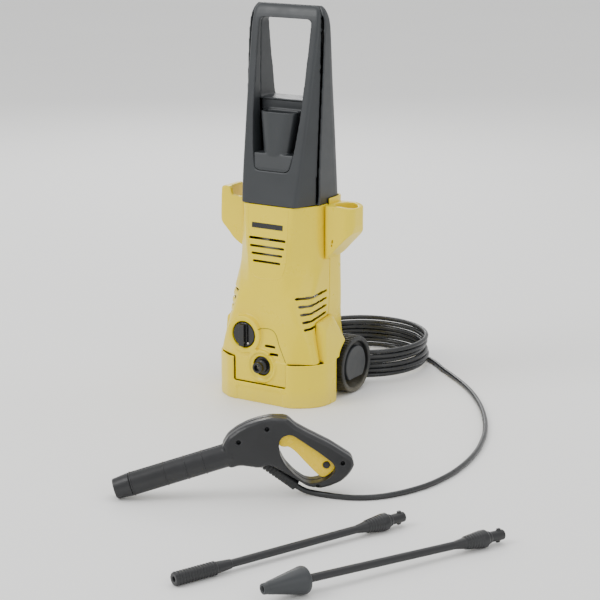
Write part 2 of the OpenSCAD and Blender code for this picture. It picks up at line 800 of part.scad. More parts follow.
// Spur gear: straight-flanked teeth around a root circle, the first tooth on +X
module spur(teeth, h, offset_angle) {
    pitch_r = teeth * gear_module / 2;
    root_r = pitch_r - 1.25 * gear_module;
    tip_r = pitch_r + gear_module;
    root_w = 0.225 * PI * gear_module;    // half widths of a tooth
    tip_w = 0.105 * PI * gear_module;
    linear_extrude(h) polygon([for (i = [0 : teeth - 1])
        let (a = offset_angle + i * 360 / teeth)
        for (q = [[root_r, -root_w], [tip_r, -tip_w], [tip_r, tip_w], [root_r, root_w]])
            [q[0] * cos(a) - q[1] * sin(a), q[0] * sin(a) + q[1] * cos(a)]]);
}
module drive_gear() {
    color("#E6E2D3") at_pump(gear_z) union() {
        difference() {
            // a gap between two teeth faces the pinion, on -X
            spur(gear_teeth, gear_h, 180 + 180 / gear_teeth);
            translate([0, 0, -1]) cylinder(r = pump_shaft_r, h = gear_h + 2);
        }
        translate([0, 0, case_z - 4 - gear_z]) cylinder(r = pump_shaft_r, h = case_h);
    }
}
module drive_pinion() {
    color(steel) at_motor(gear_z - 1) difference() {
        spur(pinion_teeth, gear_h + 2, 0);
        translate([0, 0, -1]) cylinder(r = shaft_r, h = gear_h + 4);
    }
}
bearing_r = 9;
module pump_bearings() {
    color("#C8CBCE") for (z = [case_z - 4.5, motor_z - 9.5]) at_pump(z) difference() {
        cylinder(r = bearing_r, h = z < case_z ? 4.5 : 6);
        translate([0, 0, -1]) cylinder(r = pump_shaft_r + 0.05, h = 10);
    }
}
case_wall = 3;
gear_tip = gear_teeth * gear_module / 2 + gear_module;
module gear_case() {
    color("#8E9396") {
        gear_housing();
        at_pump(motor_z - 10) difference() {
            cylinder(r = bearing_r + 3, h = 8);
            translate([0, 0, -1]) cylinder(r = bearing_r, h = 10);
        }
    }
}
module gear_housing() {
    difference() {
        union() {
            at_pump(case_z) cylinder(r = gear_tip + case_wall + 1.5, h = case_h);
            at_motor(case_z) cylinder(r = 22, h = case_h);
            translate([motor_axis.x, motor_axis.y - 20, case_z]) cube([gear_centre, 40, case_h]);
        }
        at_pump(case_z - 1) cylinder(r = gear_tip + 1.5, h = case_h - 2.5);
        at_motor(case_z - 1) cylinder(r = 19, h = case_h - 2.5);
        translate([motor_axis.x, motor_axis.y - 17, case_z - 1]) cube([gear_centre, 34, case_h - 2.5]);
        at_motor(case_z) cylinder(r = shaft_r + 4, h = case_h + 1);
    }
}

housing_wall = 2.5;
module motor_housing() {
    color("#6C7073") at_motor(motor_z) difference() {
        cylinder(r = motor_r, h = motor_len);
        translate([0, 0, 4]) cylinder(r = motor_r - housing_wall, h = motor_len - 8);
        translate([0, 0, -1]) cylinder(r = 11, h = motor_len + 2);
        // cooling windows
        for (a = [0 : 60 : 359]) rotate(a) translate([motor_r - 8, -8, motor_len - 20]) cube([20, 16, 10]);
        for (a = [30 : 60 : 359]) rotate(a) translate([motor_r - 8, -8, 8]) cube([20, 16, 10]);
    }
}
module stator() {
    color("#9A5B33") at_motor(motor_z + 22) difference() {
        cylinder(r = motor_r - housing_wall, h = 46);
        translate([0, 0, -1]) cylinder(r = 25, h = 48);
        for (a = [45, 225]) rotate(a) translate([24, -6, -1]) cube([9, 12, 48]);
    }
}
module rotor() {
    color("#7F8488") at_motor(0) {
        translate([0, 0, gear_z - 4]) cylinder(r = shaft_r, h = motor_z + motor_len + 4 - gear_z);
        translate([0, 0, motor_z + 20]) cylinder(r = 24.3, h = 50);
        translate([0, 0, motor_z + 10]) cylinder(r = 12, h = 9);
    }
}
module brush_holders() {
    color(brass) at_motor(motor_z + 11) for (a = [0, 180]) rotate(a)
        translate([12.2, -4, 0]) cube([motor_r - housing_wall - 12.4, 8, 7]);
}
module motor_fan() {
    color("#D9D9D4") at_motor(motor_z + motor_len - 26) difference() {
        union() {
            cylinder(r = 30, h = 2);
            cylinder(r = 9, h = 14);
            for (a = [0 : 45 : 359]) rotate(a) translate([8, -0.8, 0]) cube([22, 1.6, 14]);
        }
        translate([0, 0, -1]) cylinder(r = shaft_r, h = 20);
    }
}
module motor_bearings() {
    color("#C8CBCE") at_motor(0) for (z = [motor_z, motor_z + motor_len - 7]) translate([0, 0, z]) difference() {
        cylinder(r = 11, h = 7);
        translate([0, 0, -1]) cylinder(r = shaft_r + 0.05, h = 9);
    }
}
module capacitor() {
    color("#D9D9D4") translate([motor_axis.x + motor_r + 15, motor_axis.y, motor_z]) {
        cylinder(r = 13, h = 48);
        for (y = [-4, 4]) translate([0, y, 47]) cylinder(r = 1.5, h = 8);
    }
}

// --- water and mains connections ---------------------------------------------------------------

inlet_nut_r = 14;
coupling_r = 10;
coupling_out = 14;                        // how far the coupling stands out of the front panel
module at_inlet(y) { translate([inlet_x, y, inlet_z]) along_y() children(); }
module inlet_coupling() {
    color(black) at_inlet(apron_y - coupling_out) difference() {
        union() {
            rotate_extrude() polygon([[0, 0], [7.5, 0], [8.5, 1], [8.5, 6], [7, 7], [7, 8.5], [8.5, 10],
                [coupling_r, 10.5], [coupling_r, 16], [0, 16]]);
            translate([0, 0, 15]) cylinder(r = 8, h = 11);
        }
        translate([0, 0, -1]) cylinder(r = 5, h = 40);
    }
}
module inlet_nut() {
    color(black) at_inlet(apron_y + 2.2) difference() {
        cylinder(r = inlet_nut_r, h = 8);
        translate([0, 0, -1]) cylinder(r = 8, h = 20);
    }
}
module inlet_filter() {
    color("#E8E8E4") at_inlet(apron_y - 6) difference() {
        cylinder(r1 = 4.9, r2 = 3, h = 14);
        translate([0, 0, -1]) cylinder(r1 = 4, r2 = 2, h = 14);
    }
}
head_front = pump_axis.y - head_half.y;
head_back = pump_axis.y + head_half.y;
module inlet_pipe() {
    color(steel) at_inlet(apron_y + 12) difference() {
        cylinder(r = 6.95, h = head_front + 10 - apron_y - 12);
        translate([0, 0, -1]) cylinder(r = 4.5, h = 100);
    }
}
outlet_end = base_back + 12;
module outlet_pipe() {
    color(brass) translate([outlet_x, head_back - 11, outlet_z]) along_y() difference() {
        union() {
            cylinder(r = 4.95, h = outlet_end - head_back + 11);
            translate([0, 0, outlet_end - head_back - 16]) cylinder(r = 7, h = 6);
        }
        translate([0, 0, -1]) cylinder(r = 2.5, h = 200);
    }
}
module hose_nut() {
    color(black) translate([outlet_x, outlet_end - 9, outlet_z]) along_y() difference() {
        union() {
            cylinder(r = hose_nut_r, h = 12, $fn = 48);
            translate([0, 0, 12]) cylinder(r1 = hose_nut_r - 2, r2 = hose_d / 2 + 1, h = 10);
        }
        translate([0, 0, -1]) cylinder(r = 5, h = 10.2);
        translate([0, 0, 9]) cylinder(r = hose_d / 2, h = 20);
    }
}
gland_x = 38;
gland_z = base_h + 0.62 * cover_h;
gland_r = 8;
module mains_gland() {
    color(black) translate([gland_x, body_back - 9, gland_z]) along_y() difference() {
        union() {
            cylinder(r = gland_r, h = 12);
            translate([0, 0, 12]) cylinder(r1 = gland_r + 2, r2 = 6, h = 8);
            cylinder(r = gland_r + 2.5, h = 4);
        }
        translate([0, 0, -1]) cylinder(r = 3.6, h = 40);
    }
}

// --- hose --------------------------------------------------------------------------------------

hose_r = hose_d / 2;
coil_centre = [30, 182];
coil_turns = 6.33;
coil_pitch = 7.6;
coil_h = coil_turns * coil_pitch + hose_d;
coil_exit = 61;                           // where the lowest turn leaves the coil, in degrees

// Routes of the hose's centre line
lead_points = [[-14, 97, 62], [-14, 108, 62], [-16, 118, 61], [-22, 130, 59], [-33, 142, 57],
    [-46, 153, 55], [-57, 164, 53], [-63, 174, 52], [-66, 184, 52]];
run_points = [[76.5, 266, 3.8], [98, 254, 3.8], [119, 241, 3.8], [137, 227, 3.8], [154, 211, 3.8],
    [172, 196, 3.8], [190, 181, 3.8], [213, 161, 3.8], [236, 139, 3.8], [258, 115, 3.8], [279, 89, 3.8],
    [300, 60, 3.8], [319, 30, 3.8], [335, 2, 3.8], [348, -24, 3.8], [359, -49, 3.8], [368, -74, 3.8],
    [377, -102, 3.8], [384, -131, 3.8], [389, -160, 3.8], [392, -189, 3.8], [393, -217, 3.8],
    [391, -245, 3.8], [387, -270, 3.8], [380, -293, 3.8], [371, -314, 3.8], [360, -333, 3.8],
    [347, -348, 3.8], [332, -359, 3.8], [315, -367, 3.8], [296, -371.5, 3.8], [276, -374.5, 4],
    [263.2, -377.6, 6], [252.9, -383.1, 12.5], [246.5, -387.6, 18.7]];

// Points between the route's own points, on a smooth curve through them
function smooth_point(points, i, t) =
    let (
        a = points[max(i - 1, 0)],
        b = points[i],
        c = points[i + 1],
        d = points[min(i + 2, len(points) - 1)]
    )
    (2 * b + (c - a) * t + (2 * a - 5 * b + 4 * c - d) * t * t + (3 * b - a - 3 * c + d) * t * t * t) / 2;
function smooth_route(points, parts) = concat(
    [for (i = [0 : len(points) - 2]) for (k = [0 : parts - 1]) smooth_point(points, i, k / parts)],
    [points[len(points) - 1]]);
function unit(v) = v / norm(v);
// A tube of the given radius along a route, one ring per point
module tube(points, r, sides) {
    loft([for (i = [0 : len(points) - 1])
        let (
            t = unit(points[min(i + 1, len(points) - 1)] - points[max(i - 1, 0)]),
            side = unit(cross(t, [0, 0, 1])),
            up = cross(t, side)
        )
        [for (k = [0 : sides - 1]) points[i] + side * r * cos(k * 360 / sides) + up * r * sin(k * 360 / sides)]]);
}
module hose_lead() { color(black) tube(smooth_route(lead_points, 1), hose_r, 10); }
module hose_run() { color(black) tube(smooth_route(run_points, 2), hose_r, 8); }
module hose_coil() {
    color(black) translate([coil_centre.x, coil_centre.y, 0.05]) rotate_extrude($fn = 96)
        translate([coil_r - hose_r, 0]) square([hose_d, coil_h]);
}

// --- gun ---------------------------------------------------------------------------------------
// Drawn with the muzzle at the origin, the barrel along +X, the trigger below and its sides on +-Y

muzzle = [61.4, -518.7, 12.8];
muzzle_r = barrel_r - 2.2;
gun_turn = 35.3;
gun_lift = 16.6;
module at_gun() { translate(muzzle) rotate([0, -gun_lift, gun_turn]) children(); }

// Side outline of the gun behind the barrel, without the finger opening
gun_outline = [
    [150, 15.5], [161, 26], [175, 31.5], [190, 34.5], [205, 35], [222, 33.5], [241, 26.5], [248, 14],
    [258, 3], [284, -23], [306, -50], [306, -60], [297, -69], [284, -76], [268, -78], [254, -77],
    [240, -70], [226, -54], [212, -38], [200, -26], [188, -27], [176, -21], [164, -15.5], [150, -15.5]
];
finger_hole = [
    [221, -1], [226, 5], [234, 6.5], [241, 4], [252, -10], [266, -28], [280, -48], [281, -58],
    [272, -65], [260, -68], [247, -67], [238, -62], [229, -50], [221, -33], [218, -16]
];
barrel_len = 152;
socket_depth = 22;
shell_gap = 0.1;
water_tube_r = 4;
// Whole gun body: a barrel that turns into the flat-sided handle
module gun_body(shrink = 0) {
    along_x() cylinder(r = barrel_r - shrink, h = barrel_len + 6);
    for (k = [0 : 2]) {
        half = [14.5, 13, 11][k] - shrink;
        rim = [3, 1.5, 0][k] + shrink;
        translate([0, half, 0]) rotate([90, 0, 0]) linear_extrude(2 * half)
            polygon(inset(rounded(reversed(gun_outline), 4, 2), rim));
    }
}
module gun_half(side) {
    at_gun() difference() {
        intersection() {
            gun_body();
            translate([2, side > 0 ? shell_gap : -40, -100]) cube([320, 40 - shell_gap, 200]);
        }
        // hollow inside
        difference() {
            gun_hollow();
            finger_wall();
        }
        translate([0, 30, 0]) rotate([90, 0, 0]) linear_extrude(60)
            polygon(rounded(reversed(finger_hole), 4, 2));
        along_x() translate([0, 0, -1]) cylinder(r = barrel_r + 0.2, h = 22 + 1);
        trigger_room();
        boot_room();
        for (p = gun_screw_at) translate([p.x, 0, p.y]) along_y() cylinder(r = 1.6, h = 60, center = true);
        for (p = gun_screw_at) translate([p.x, side > 0 ? 8 : -40, p.y]) along_y() cylinder(r = 3, h = 32);
    }
}
module gun_hollow() {
    translate([22, 0, 0]) along_x() cylinder(r = barrel_r - 2.5, h = barrel_len - 24);
    translate([0, 8.5, 0]) rotate([90, 0, 0]) linear_extrude(17)
        polygon(inset(reversed(gun_outline), 5));
    // guide for the water tube
    translate([barrel_len - 12, 0, 0]) along_x() cylinder(r = water_tube_r + 0.3, h = 30);
}
module finger_wall() {
    translate([0, 30, 0]) rotate([90, 0, 0]) linear_extrude(60)
        polygon(inset(rounded(reversed(finger_hole), 4, 2), -2.5));
    for (p = gun_screw_at) translate([p.x, 0, p.y]) along_y() cylinder(r = 4, h = 40, center = true);
}
gun_screw_at = [[172, 16], [212, 22], [292, -52], [252, -72.5]];

module gun_shell_left() { color(black) gun_half(1); }
module gun_shell_right() { color(black) gun_half(-1); }

trigger_pivot = [226, 14];
lock_at = [271, -50];
lock_r = 4.5;
lock_half = 8.5;
trigger_half = 7;
trigger_outline = [
    [218, 12], [224, 20], [232, 18], [243, 4], [257, -14], [270, -31], [283, -50], [281, -58], [273, -63],
    [263, -66], [258, -62], [252, -50], [246, -38], [239, -22], [232, -11], [224, -10], [219, -4]
];
module trigger_shape() {
    rotate([90, 0, 0]) linear_extrude(2 * trigger_half, center = true)
        polygon(rounded(reversed(trigger_outline), 5, 3));
}
// Space for the trigger and its lock over the whole travel
module over_travel() {
    for (a = [0, 0.33, 0.67, 1]) translate(trigger_pivot) rotate(a * trigger_travel)
        translate(-trigger_pivot) children();
}
module trigger_room() {
    rotate([90, 0, 0]) linear_extrude(2 * trigger_half + 1.6, center = true)
        over_travel() offset(delta = 1) polygon(rounded(reversed(trigger_outline), 5, 3));
    rotate([90, 0, 0]) linear_extrude(2 * lock_half + 5, center = true)
        over_travel() translate(lock_at) circle(r = lock_r + 1.2, $fn = 32);
}
module gun_trigger() {
    color(yellow) at_gun() difference() {
        trigger_shape();
        translate([trigger_pivot.x, 0, trigger_pivot.y]) along_y() cylinder(r = 2.05, h = 40, center = true);
        translate([lock_at.x, 0, lock_at.y]) along_y() cylinder(r = lock_r + 0.08, h = 40, center = true);
    }
}
module trigger_lock() {
    color(black) at_gun() translate([lock_at.x, 0, lock_at.y]) along_y()
        cylinder(r = lock_r, h = 2 * lock_half, center = true);
}
module gun_valve() {
    color(brass) at_gun() {
        translate([186, 0, 2]) along_x() cylinder(r = 7, h = 26);
        translate([212, 0, 2]) along_x() cylinder(r = 2.5, h = 5);
        translate([socket_depth + 2, 0, 0]) along_x() cylinder(r = water_tube_r, h = 186 - socket_depth - 1);
        translate([trigger_pivot.x, 0, trigger_pivot.y]) along_y() cylinder(r = 2, h = 16.6, center = true);
    }
}
module muzzle_socket() {
    color(black) at_gun() along_x() difference() {
        union() {
            cylinder(r1 = muzzle_r - 0.6, r2 = muzzle_r, h = 1);
            translate([0, 0, 1]) cylinder(r1 = muzzle_r, r2 = barrel_r, h = 21);
        }
        translate([0, 0, -1]) cylinder(r = socket_r, h = socket_depth - 1);
        for (a = [0, 180]) rotate(a) translate([0, -2, -1]) cube([socket_r + 3, 4, 14]);
    }
}

// Ribbed sleeve that protects the hose where it leaves the gun
boot_start = [194, -23];
boot_turn = 55.2;                         // how far the boot points down from the barrel's line
boot_len = 54;
boot_r = 8.5;
module at_boot() { translate([boot_start.x, 0, boot_start.y]) rotate([0, 90 + boot_turn, 0]) children(); }
module boot_room() { at_boot() translate([0, 0, -1]) cylinder(r = boot_r + 0.3, h = boot_len + 40); }
module hose_boot() {
    ribs = 11;
    color(black) at_gun() at_boot() difference() {
        union() {
            cylinder(r = boot_r - 1.6, h = boot_len);
            for (k = [0 : ribs - 1]) translate([0, 0, k * boot_len / ribs])
                cylinder(r = boot_r - k * 0.18, h = boot_len / ribs * 0.55);
        }
        translate([0, 0, 20]) cylinder(r = hose_r, h = boot_len);
    }
}
module gun_screws() {
    color(steel) at_gun() for (p = gun_screw_at) translate([p.x, 0, p.y]) along_y() {
        translate([0, 0, -8]) cylinder(r = 1.5, h = 15);
        translate([0, 0, -10]) cylinder(r = 2.8, h = 2);
    }
}

// --- lances ------------------------------------------------------------------------------------

collar_r = 11;
grip_r = 8.6;
spigot_r = 6.5;
// Bayonet end of a lance: ribbed cone, then the spigot with its lugs. z = 0 is the end of the spigot.
module lance_end() {
    rotate_extrude($fn = 48) polygon([[0, 0], [spigot_r - 1, 0], [spigot_r, 1], [spigot_r, 20], [8, 22],
        [8, 25], [collar_r, 28], [collar_r, 33], [lance_r, 74], [0, 74]]);
    for (a = [0, 180]) rotate(a) translate([0, -1.8, 5]) cube([spigot_r + 2.5, 3.6, 5]);
}
module ribs_on_cone(from, to, r_from, r_to, count) {
    for (k = [0 : count - 1])
        translate([0, 0, from + (to - from) * k / count])
            cylinder(r = r_from + (r_to - r_from) * k / count + 0.9, h = (to - from) / count * 0.5, $fn = 48);
}

spray_grip = 79;
// Lying on the floor on its collar and its grip, which have different radii
spray_tilt = asin((collar_r - grip_r) / (spray_len - 30 - 10));
module at_spray() {
    translate([424, -403, collar_r + 0.4]) rotate([0, 0, 66.8 + 180]) rotate([0, 90 + spray_tilt, 0]) children();
}
module spray_lance() {
    color(black) at_spray() difference() {
        union() {
            lance_end();
            cylinder(r = lance_r, h = spray_len - 10);
            ribs_on_cone(34, 60, collar_r - 0.9, 7, 7);
        }
        translate([0, 0, -1]) cylinder(r = 2.2, h = spray_len);
    }
}
module spray_nozzle() {
    color(black) at_spray() difference() {
        union() {
            translate([0, 0, spray_len - spray_grip]) cylinder(r1 = lance_r + 0.8, r2 = grip_r - 0.9, h = 24);
            translate([0, 0, spray_len - spray_grip + 23.9]) cylinder(r = grip_r - 0.9, h = spray_grip - 25);
            for (k = [0 : 13]) translate([0, 0, spray_len - 57 + k * 4])
                cylinder(r = grip_r, h = 2.2, $fn = 48);
        }
        translate([0, 0, spray_len - spray_grip - 1]) cylinder(r = lance_r + 0.06, h = spray_grip - 8.9);
        translate([0, 0, spray_len - 11]) cylinder(r1 = 1, r2 = 4, h = 12);
    }
}

cone_len = 61;
cone_at = rotor_len - cone_len;
chamber_r = 9.5;                          // chamber in which the jet circles
insert_len = 24;
cone_wide = 10;                           // length of the cone's widest band
rotor_tilt = asin((cone_r - collar_r) / (cone_at + 8 - 30));
module at_rotor() {
    translate([554, -389, collar_r - 0.5]) rotate([0, 0, 64.3 + 180]) rotate([0, 90 - rotor_tilt, 0]) children();
}
module rotor_lance() {
    color(black) at_rotor() difference() {
        union() {
            lance_end();
            cylinder(r = lance_r, h = cone_at + 20);
            ribs_on_cone(34, 60, collar_r - 0.9, 7, 7);
        }
        translate([0, 0, -1]) cylinder(r = 2.2, h = rotor_len);
    }
}
module rotor_nozzle() {
    color(charcoal) at_rotor() translate([0, 0, cone_at]) difference() {
        rotate_extrude($fn = 64) polygon([[0, 0], [9, 0], [cone_r - 1, 4], [cone_r, 7], [cone_r, cone_wide],
            [cone_r - 0.8, cone_wide + 3], [7.5, cone_len - 7], [7, cone_len - 6], [6.5, cone_len], [0, cone_len]]);
        translate([0, 0, -1]) cylinder(r = lance_r + 0.06, h = 21.5);
        translate([0, 0, 23]) cylinder(r1 = chamber_r, r2 = chamber_r - 3.5, h = insert_len + 3);
        translate([0, 0, 20]) cylinder(r = 2.5, h = 4);
        translate([0, 0, cone_len - 6]) cylinder(r1 = 1.5, r2 = 4.5, h = 7);
        translate([0, 0, 24 + insert_len]) cylinder(r = 1.5, h = 20);
    }
}
// Tilted jet that circles inside the cone
module rotor_insert() {
    color(brass) at_rotor() translate([0, 0, cone_at + 25]) {
        translate([2, 0, 0]) rotate([0, -4, 0]) cylinder(r = 3.2, h = insert_len - 2);
        cylinder(r = 5.5, h = 3);
    }
}

// --- output ------------------------------------------------------------------------------------

base_tray();
front_cover();
rear_cover();
tower_front();
tower_rear();
nozzle_pocket();
gun_holder();
hose_hook();
cover_screws();
switch_knob();
knob_marker();
switch_shaft();
switch_box();
inlet_coupling();
inlet_nut();
inlet_filter();
inlet_pipe();
outlet_pipe();
hose_nut();
mains_gland();
axle();
wheel_left();
wheel_right();
wheel_cap_left();
wheel_cap_right();
axle_clips();
motor_housing();
stator();
rotor();
motor_fan();
motor_bearings();
brush_holders();
capacitor();
drive_pinion();
drive_gear();
wobble_plate();
pump_bearings();
gear_case();
cylinder_block();
pistons();
piston_springs();
pump_head();
stop_valve();
hose_lead();
hose_coil();
hose_run();
gun_shell_left();
gun_shell_right();
gun_trigger();
trigger_lock();
gun_valve();
muzzle_socket();
hose_boot();
gun_screws();
spray_lance();
spray_nozzle();
rotor_lance();
rotor_nozzle();
rotor_insert();
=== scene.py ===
"""Finish of an upright pressure washer with its hose, trigger gun and two lances."""

import json
import math

import bmesh
import bpy
from bpy.props import FloatProperty, FloatVectorProperty, IntProperty, PointerProperty
from bpy.types import Operator, Panel, PropertyGroup
from mathutils import Matrix, Vector
from mathutils.bvhtree import BVHTree


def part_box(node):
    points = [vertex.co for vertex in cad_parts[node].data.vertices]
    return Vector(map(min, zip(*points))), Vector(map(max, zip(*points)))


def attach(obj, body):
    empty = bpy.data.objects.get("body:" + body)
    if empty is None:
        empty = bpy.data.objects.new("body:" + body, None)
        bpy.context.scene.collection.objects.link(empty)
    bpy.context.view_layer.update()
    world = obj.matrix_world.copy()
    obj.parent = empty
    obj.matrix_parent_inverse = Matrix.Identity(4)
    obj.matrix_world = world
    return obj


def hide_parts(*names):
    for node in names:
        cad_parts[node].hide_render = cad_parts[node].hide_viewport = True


bl_info = {
    "name": "Pressure washer",
    "version": (1, 0, 0),
    "blender": (4, 5, 0),
    "location": "3D View > Sidebar > Washer",
    "description": "Finishes the packed washer, its hose, gun and lances, and lights it in a plain studio",
    "category": "Object",
}

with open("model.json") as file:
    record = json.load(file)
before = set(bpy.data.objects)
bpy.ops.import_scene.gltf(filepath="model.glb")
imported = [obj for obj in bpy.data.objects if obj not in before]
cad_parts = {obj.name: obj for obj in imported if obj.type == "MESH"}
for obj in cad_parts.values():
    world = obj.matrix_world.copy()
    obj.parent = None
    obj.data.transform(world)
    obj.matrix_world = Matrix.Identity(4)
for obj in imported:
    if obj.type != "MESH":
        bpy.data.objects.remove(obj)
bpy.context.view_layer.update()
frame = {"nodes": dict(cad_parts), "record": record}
MM = 0.001


# --- facts from the frame ----------------------------------------------------------------------


def joint(name):
    """A joint of the record by name."""
    return next(j for j in frame["record"]["behaviour"]["joints"] if j["name"] == name)


def mount(name):
    """A mount of the record by name."""
    return next(m for m in frame["record"]["mounts"] if m["name"] == name)


def slot_of(node):
    """The record's material slot of a node."""
    return next(s["material_slot"] for s in frame["record"]["subparts"] if s["node"] == node)


def body_of(node):
    """The body that a node moves with."""
    return next(b for b, nodes in frame["record"]["behaviour"]["bodies"].items() if node in nodes)


def gun_matrix():
    """Place of the gun: its muzzle at the origin, the barrel along +X and its sides on +-Y."""
    socket = mount("lance_socket")
    along = -Vector(socket["axis"]).normalized()
    side = -Vector(joint("trigger_pull")["axis"]).normalized()
    start = Vector(socket["pos_m"]) - along * socket["dims"]["length_mm"] * MM / 2
    turn = Matrix((along, side, along.cross(side))).transposed()
    return Matrix.Translation(start) @ turn.to_4x4()


# --- colours and materials -----------------------------------------------------------------------


# Height up to which a part near the floor is dusty, and the size of the specks
DUST_HEIGHT = 30
DUST_SPECK = 4
DUST_COLOUR = "#A79F86"
# Size of the gloss smears as a share of the colour patches
SMEAR_SHARE = 0.3


def linear(code):
    """A linear colour from an sRGB hex code."""
    values = [int(code[i : i + 2], 16) / 255 for i in (1, 3, 5)]
    return [v / 12.92 if v <= 0.04045 else ((v + 0.055) / 1.055) ** 2.4 for v in values]


def add_node(tree, kind, inputs=None, **settings):
    """Adds a node with its settings. An input takes a value or another node's socket."""
    node = tree.nodes.new(kind)
    for key, value in settings.items():
        setattr(node, key, value)
    for key, value in (inputs or {}).items():
        if isinstance(value, bpy.types.NodeSocket):
            tree.links.new(value, node.inputs[key])
        else:
            node.inputs[key].default_value = value
    return node


def finish(name, colour, second, patch, gloss, grain, depth, stretch=(1, 1, 1), dust=0.0, **sockets):
    """A surface of one colour with the marks that its making leaves.

    second is the colour of broad, faint patches of the size patch. gloss is the lowest and highest
    roughness, grain the size of the texture and depth its height, all in millimetres. stretch draws
    the grain out along an axis, and dust is how much the part greys near the floor.
    """
    made = bpy.data.materials.new(name)
    made.use_nodes = True
    tree = made.node_tree
    shader = tree.nodes["Principled BSDF"]
    coords = add_node(tree, "ShaderNodeTexCoord").outputs["Object"]
    patches = add_node(
        tree, "ShaderNodeTexNoise", {"Vector": coords, "Scale": 1 / (patch * MM), "Detail": 4.0}
    )
    tint = add_node(
        tree,
        "ShaderNodeMix",
        {"Factor": patches.outputs["Fac"], "A": (*colour, 1), "B": (*second, 1)},
        data_type="RGBA",
    )
    shade = tint.outputs[2]
    if dust:
        height = add_node(tree, "ShaderNodeSeparateXYZ", {"Vector": coords}).outputs["Z"]
        near = add_node(
            tree,
            "ShaderNodeMapRange",
            {"Value": height, "From Min": 0.0, "From Max": DUST_HEIGHT * MM, "To Min": dust, "To Max": 0.0},
        )
        speck = add_node(
            tree, "ShaderNodeTexNoise", {"Vector": coords, "Scale": 1 / (DUST_SPECK * MM), "Detail": 6.0}
        )
        amount = add_node(
            tree, "ShaderNodeMath", {0: near.outputs[0], 1: speck.outputs["Fac"]}, operation="MULTIPLY"
        )
        shade = add_node(
            tree,
            "ShaderNodeMix",
            {"Factor": amount.outputs[0], "A": shade, "B": (*linear(DUST_COLOUR), 1)},
            data_type="RGBA",
        ).outputs[2]
    tree.links.new(shade, shader.inputs["Base Color"])
    smears = add_node(
        tree,
        "ShaderNodeTexNoise",
        {"Vector": coords, "Scale": 1 / (patch * SMEAR_SHARE * MM), "Detail": 5.0},
    )
    rough = add_node(
        tree,
        "ShaderNodeMapRange",
        {
            "Value": smears.outputs["Fac"],
            "From Min": 0.3,
            "From Max": 0.7,
            "To Min": gloss[0],
            "To Max": gloss[1],
        },
    )
    tree.links.new(rough.outputs[0], shader.inputs["Roughness"])
    drawn = add_node(tree, "ShaderNodeMapping", {"Vector": coords, "Scale": stretch})
    pits = add_node(
        tree, "ShaderNodeTexNoise", {"Vector": drawn.outputs[0], "Scale": 1 / (grain * MM), "Detail": 3.0}
    )
    bump = add_node(
        tree, "ShaderNodeBump", {"Height": pits.outputs["Fac"], "Strength": 1.0, "Distance": depth * MM}
    )
    tree.links.new(bump.outputs[0], shader.inputs["Normal"])
    for key, value in sockets.items():
        shader.inputs[key.replace("_", " ")].default_value = value
    return made


def yellow_abs(colours):
    """Injection-moulded ABS, semi-gloss over a fine sparked tool, a little dusty where it nears the floor."""
    return finish(
        "yellow_abs", colours.body, linear("#EBCF00"), 90, (0.26, 0.36), 0.7, 0.02, dust=0.35, IOR=1.53
    )


def yellow_trigger_abs(colours):
    """The same ABS from a polished tool, warmer and glossier because fingers rub it."""
    return finish(
        "yellow_trigger_abs", colours.trigger,
        linear("#F0C800"), 30, (0.2, 0.3), 0.6, 0.01, IOR=1.53,
    )


def charcoal_polypropylene(colours):
    """Glass-filled polypropylene from an etched tool: satin, with a visible fine grain."""
    return finish(
        "charcoal_polypropylene", colours.tower, linear("#2B2E30"), 70, (0.34, 0.46), 0.9, 0.035, IOR=1.49
    )


def black_nylon(colours):
    """Moulded nylon of the gun and fittings: dense black, satin, with a soft leathery grain."""
    return finish("black_nylon", colours.fittings, linear("#1C1D20"), 40, (0.3, 0.44), 0.8, 0.03, IOR=1.53)


def knob_nylon(colours):
    """Polished black nylon: near-mirror highlights broken up by fine scratches."""
    return finish("knob_nylon", colours.fittings, linear("#18191A"), 15, (0.14, 0.28), 0.5, 0.01, IOR=1.53)


def hose_pvc(colours):
    """Extruded PVC over a braid: smooth and slightly oily, with scuffs from the floor."""
    return finish("hose_pvc", colours.hose, linear("#26282A"), 25, (0.24, 0.42), 1.6, 0.04, IOR=1.53)


def boot_rubber(colours):
    """Moulded TPE of the bend sleeve: softer and duller than the hose."""
    return finish("boot_rubber", colours.hose, linear("#202122"), 12, (0.45, 0.6), 0.6, 0.03, IOR=1.5)


def wheel_polypropylene(colours):
    """Black polypropylene of the wheels, with dust and scuffs on the tread."""
    return finish(
        "wheel_polypropylene", linear("#151617"), linear("#2C2D2C"),
        18, (0.4, 0.6), 0.7, 0.05, dust=0.6, IOR=1.49,
    )


def hubcap_polypropylene(colours):
    """Dark grey polypropylene disc, smooth from a polished tool."""
    return finish(
        "hubcap_polypropylene", linear("#303336"),
        linear("#26282A"), 25, (0.3, 0.42), 0.7, 0.02, IOR=1.49,
    )


def zinc_steel(colours):
    """Zinc-plated steel: bright grey with faint drawing lines along the part."""
    return finish(
        "zinc_steel", linear("#BFC3C6"), linear("#A4A8AB"), 8,
        (0.22, 0.38), 0.5, 0.01, (1, 1, 0.1), Metallic=1.0,
    )


def blacked_steel(colours):
    """Black-oxide steel of the gun's screws: dark, oily, with faint turning rings."""
    return finish(
        "blacked_steel", linear("#2A2B2D"), linear("#1B1C1D"),
        5, (0.3, 0.45), 0.4, 0.01, (1, 1, 3), Metallic=1.0,
    )


def die_cast_aluminium(colours):
    """Die-cast aluminium: dull, with a cloudy skin and small flow marks."""
    return finish(
        "die_cast_aluminium", linear("#B4B7B8"), linear("#8E9294"), 14, (0.4, 0.58), 1.2, 0.06, Metallic=1.0
    )


def turned_brass(colours):
    """Free-cutting brass, turned: warm, with fine tool rings."""
    return finish(
        "turned_brass", linear("#C9A85A"), linear("#AD8B45"),
        9, (0.2, 0.34), 0.4, 0.015, (1, 4, 1), Metallic=1.0,
    )


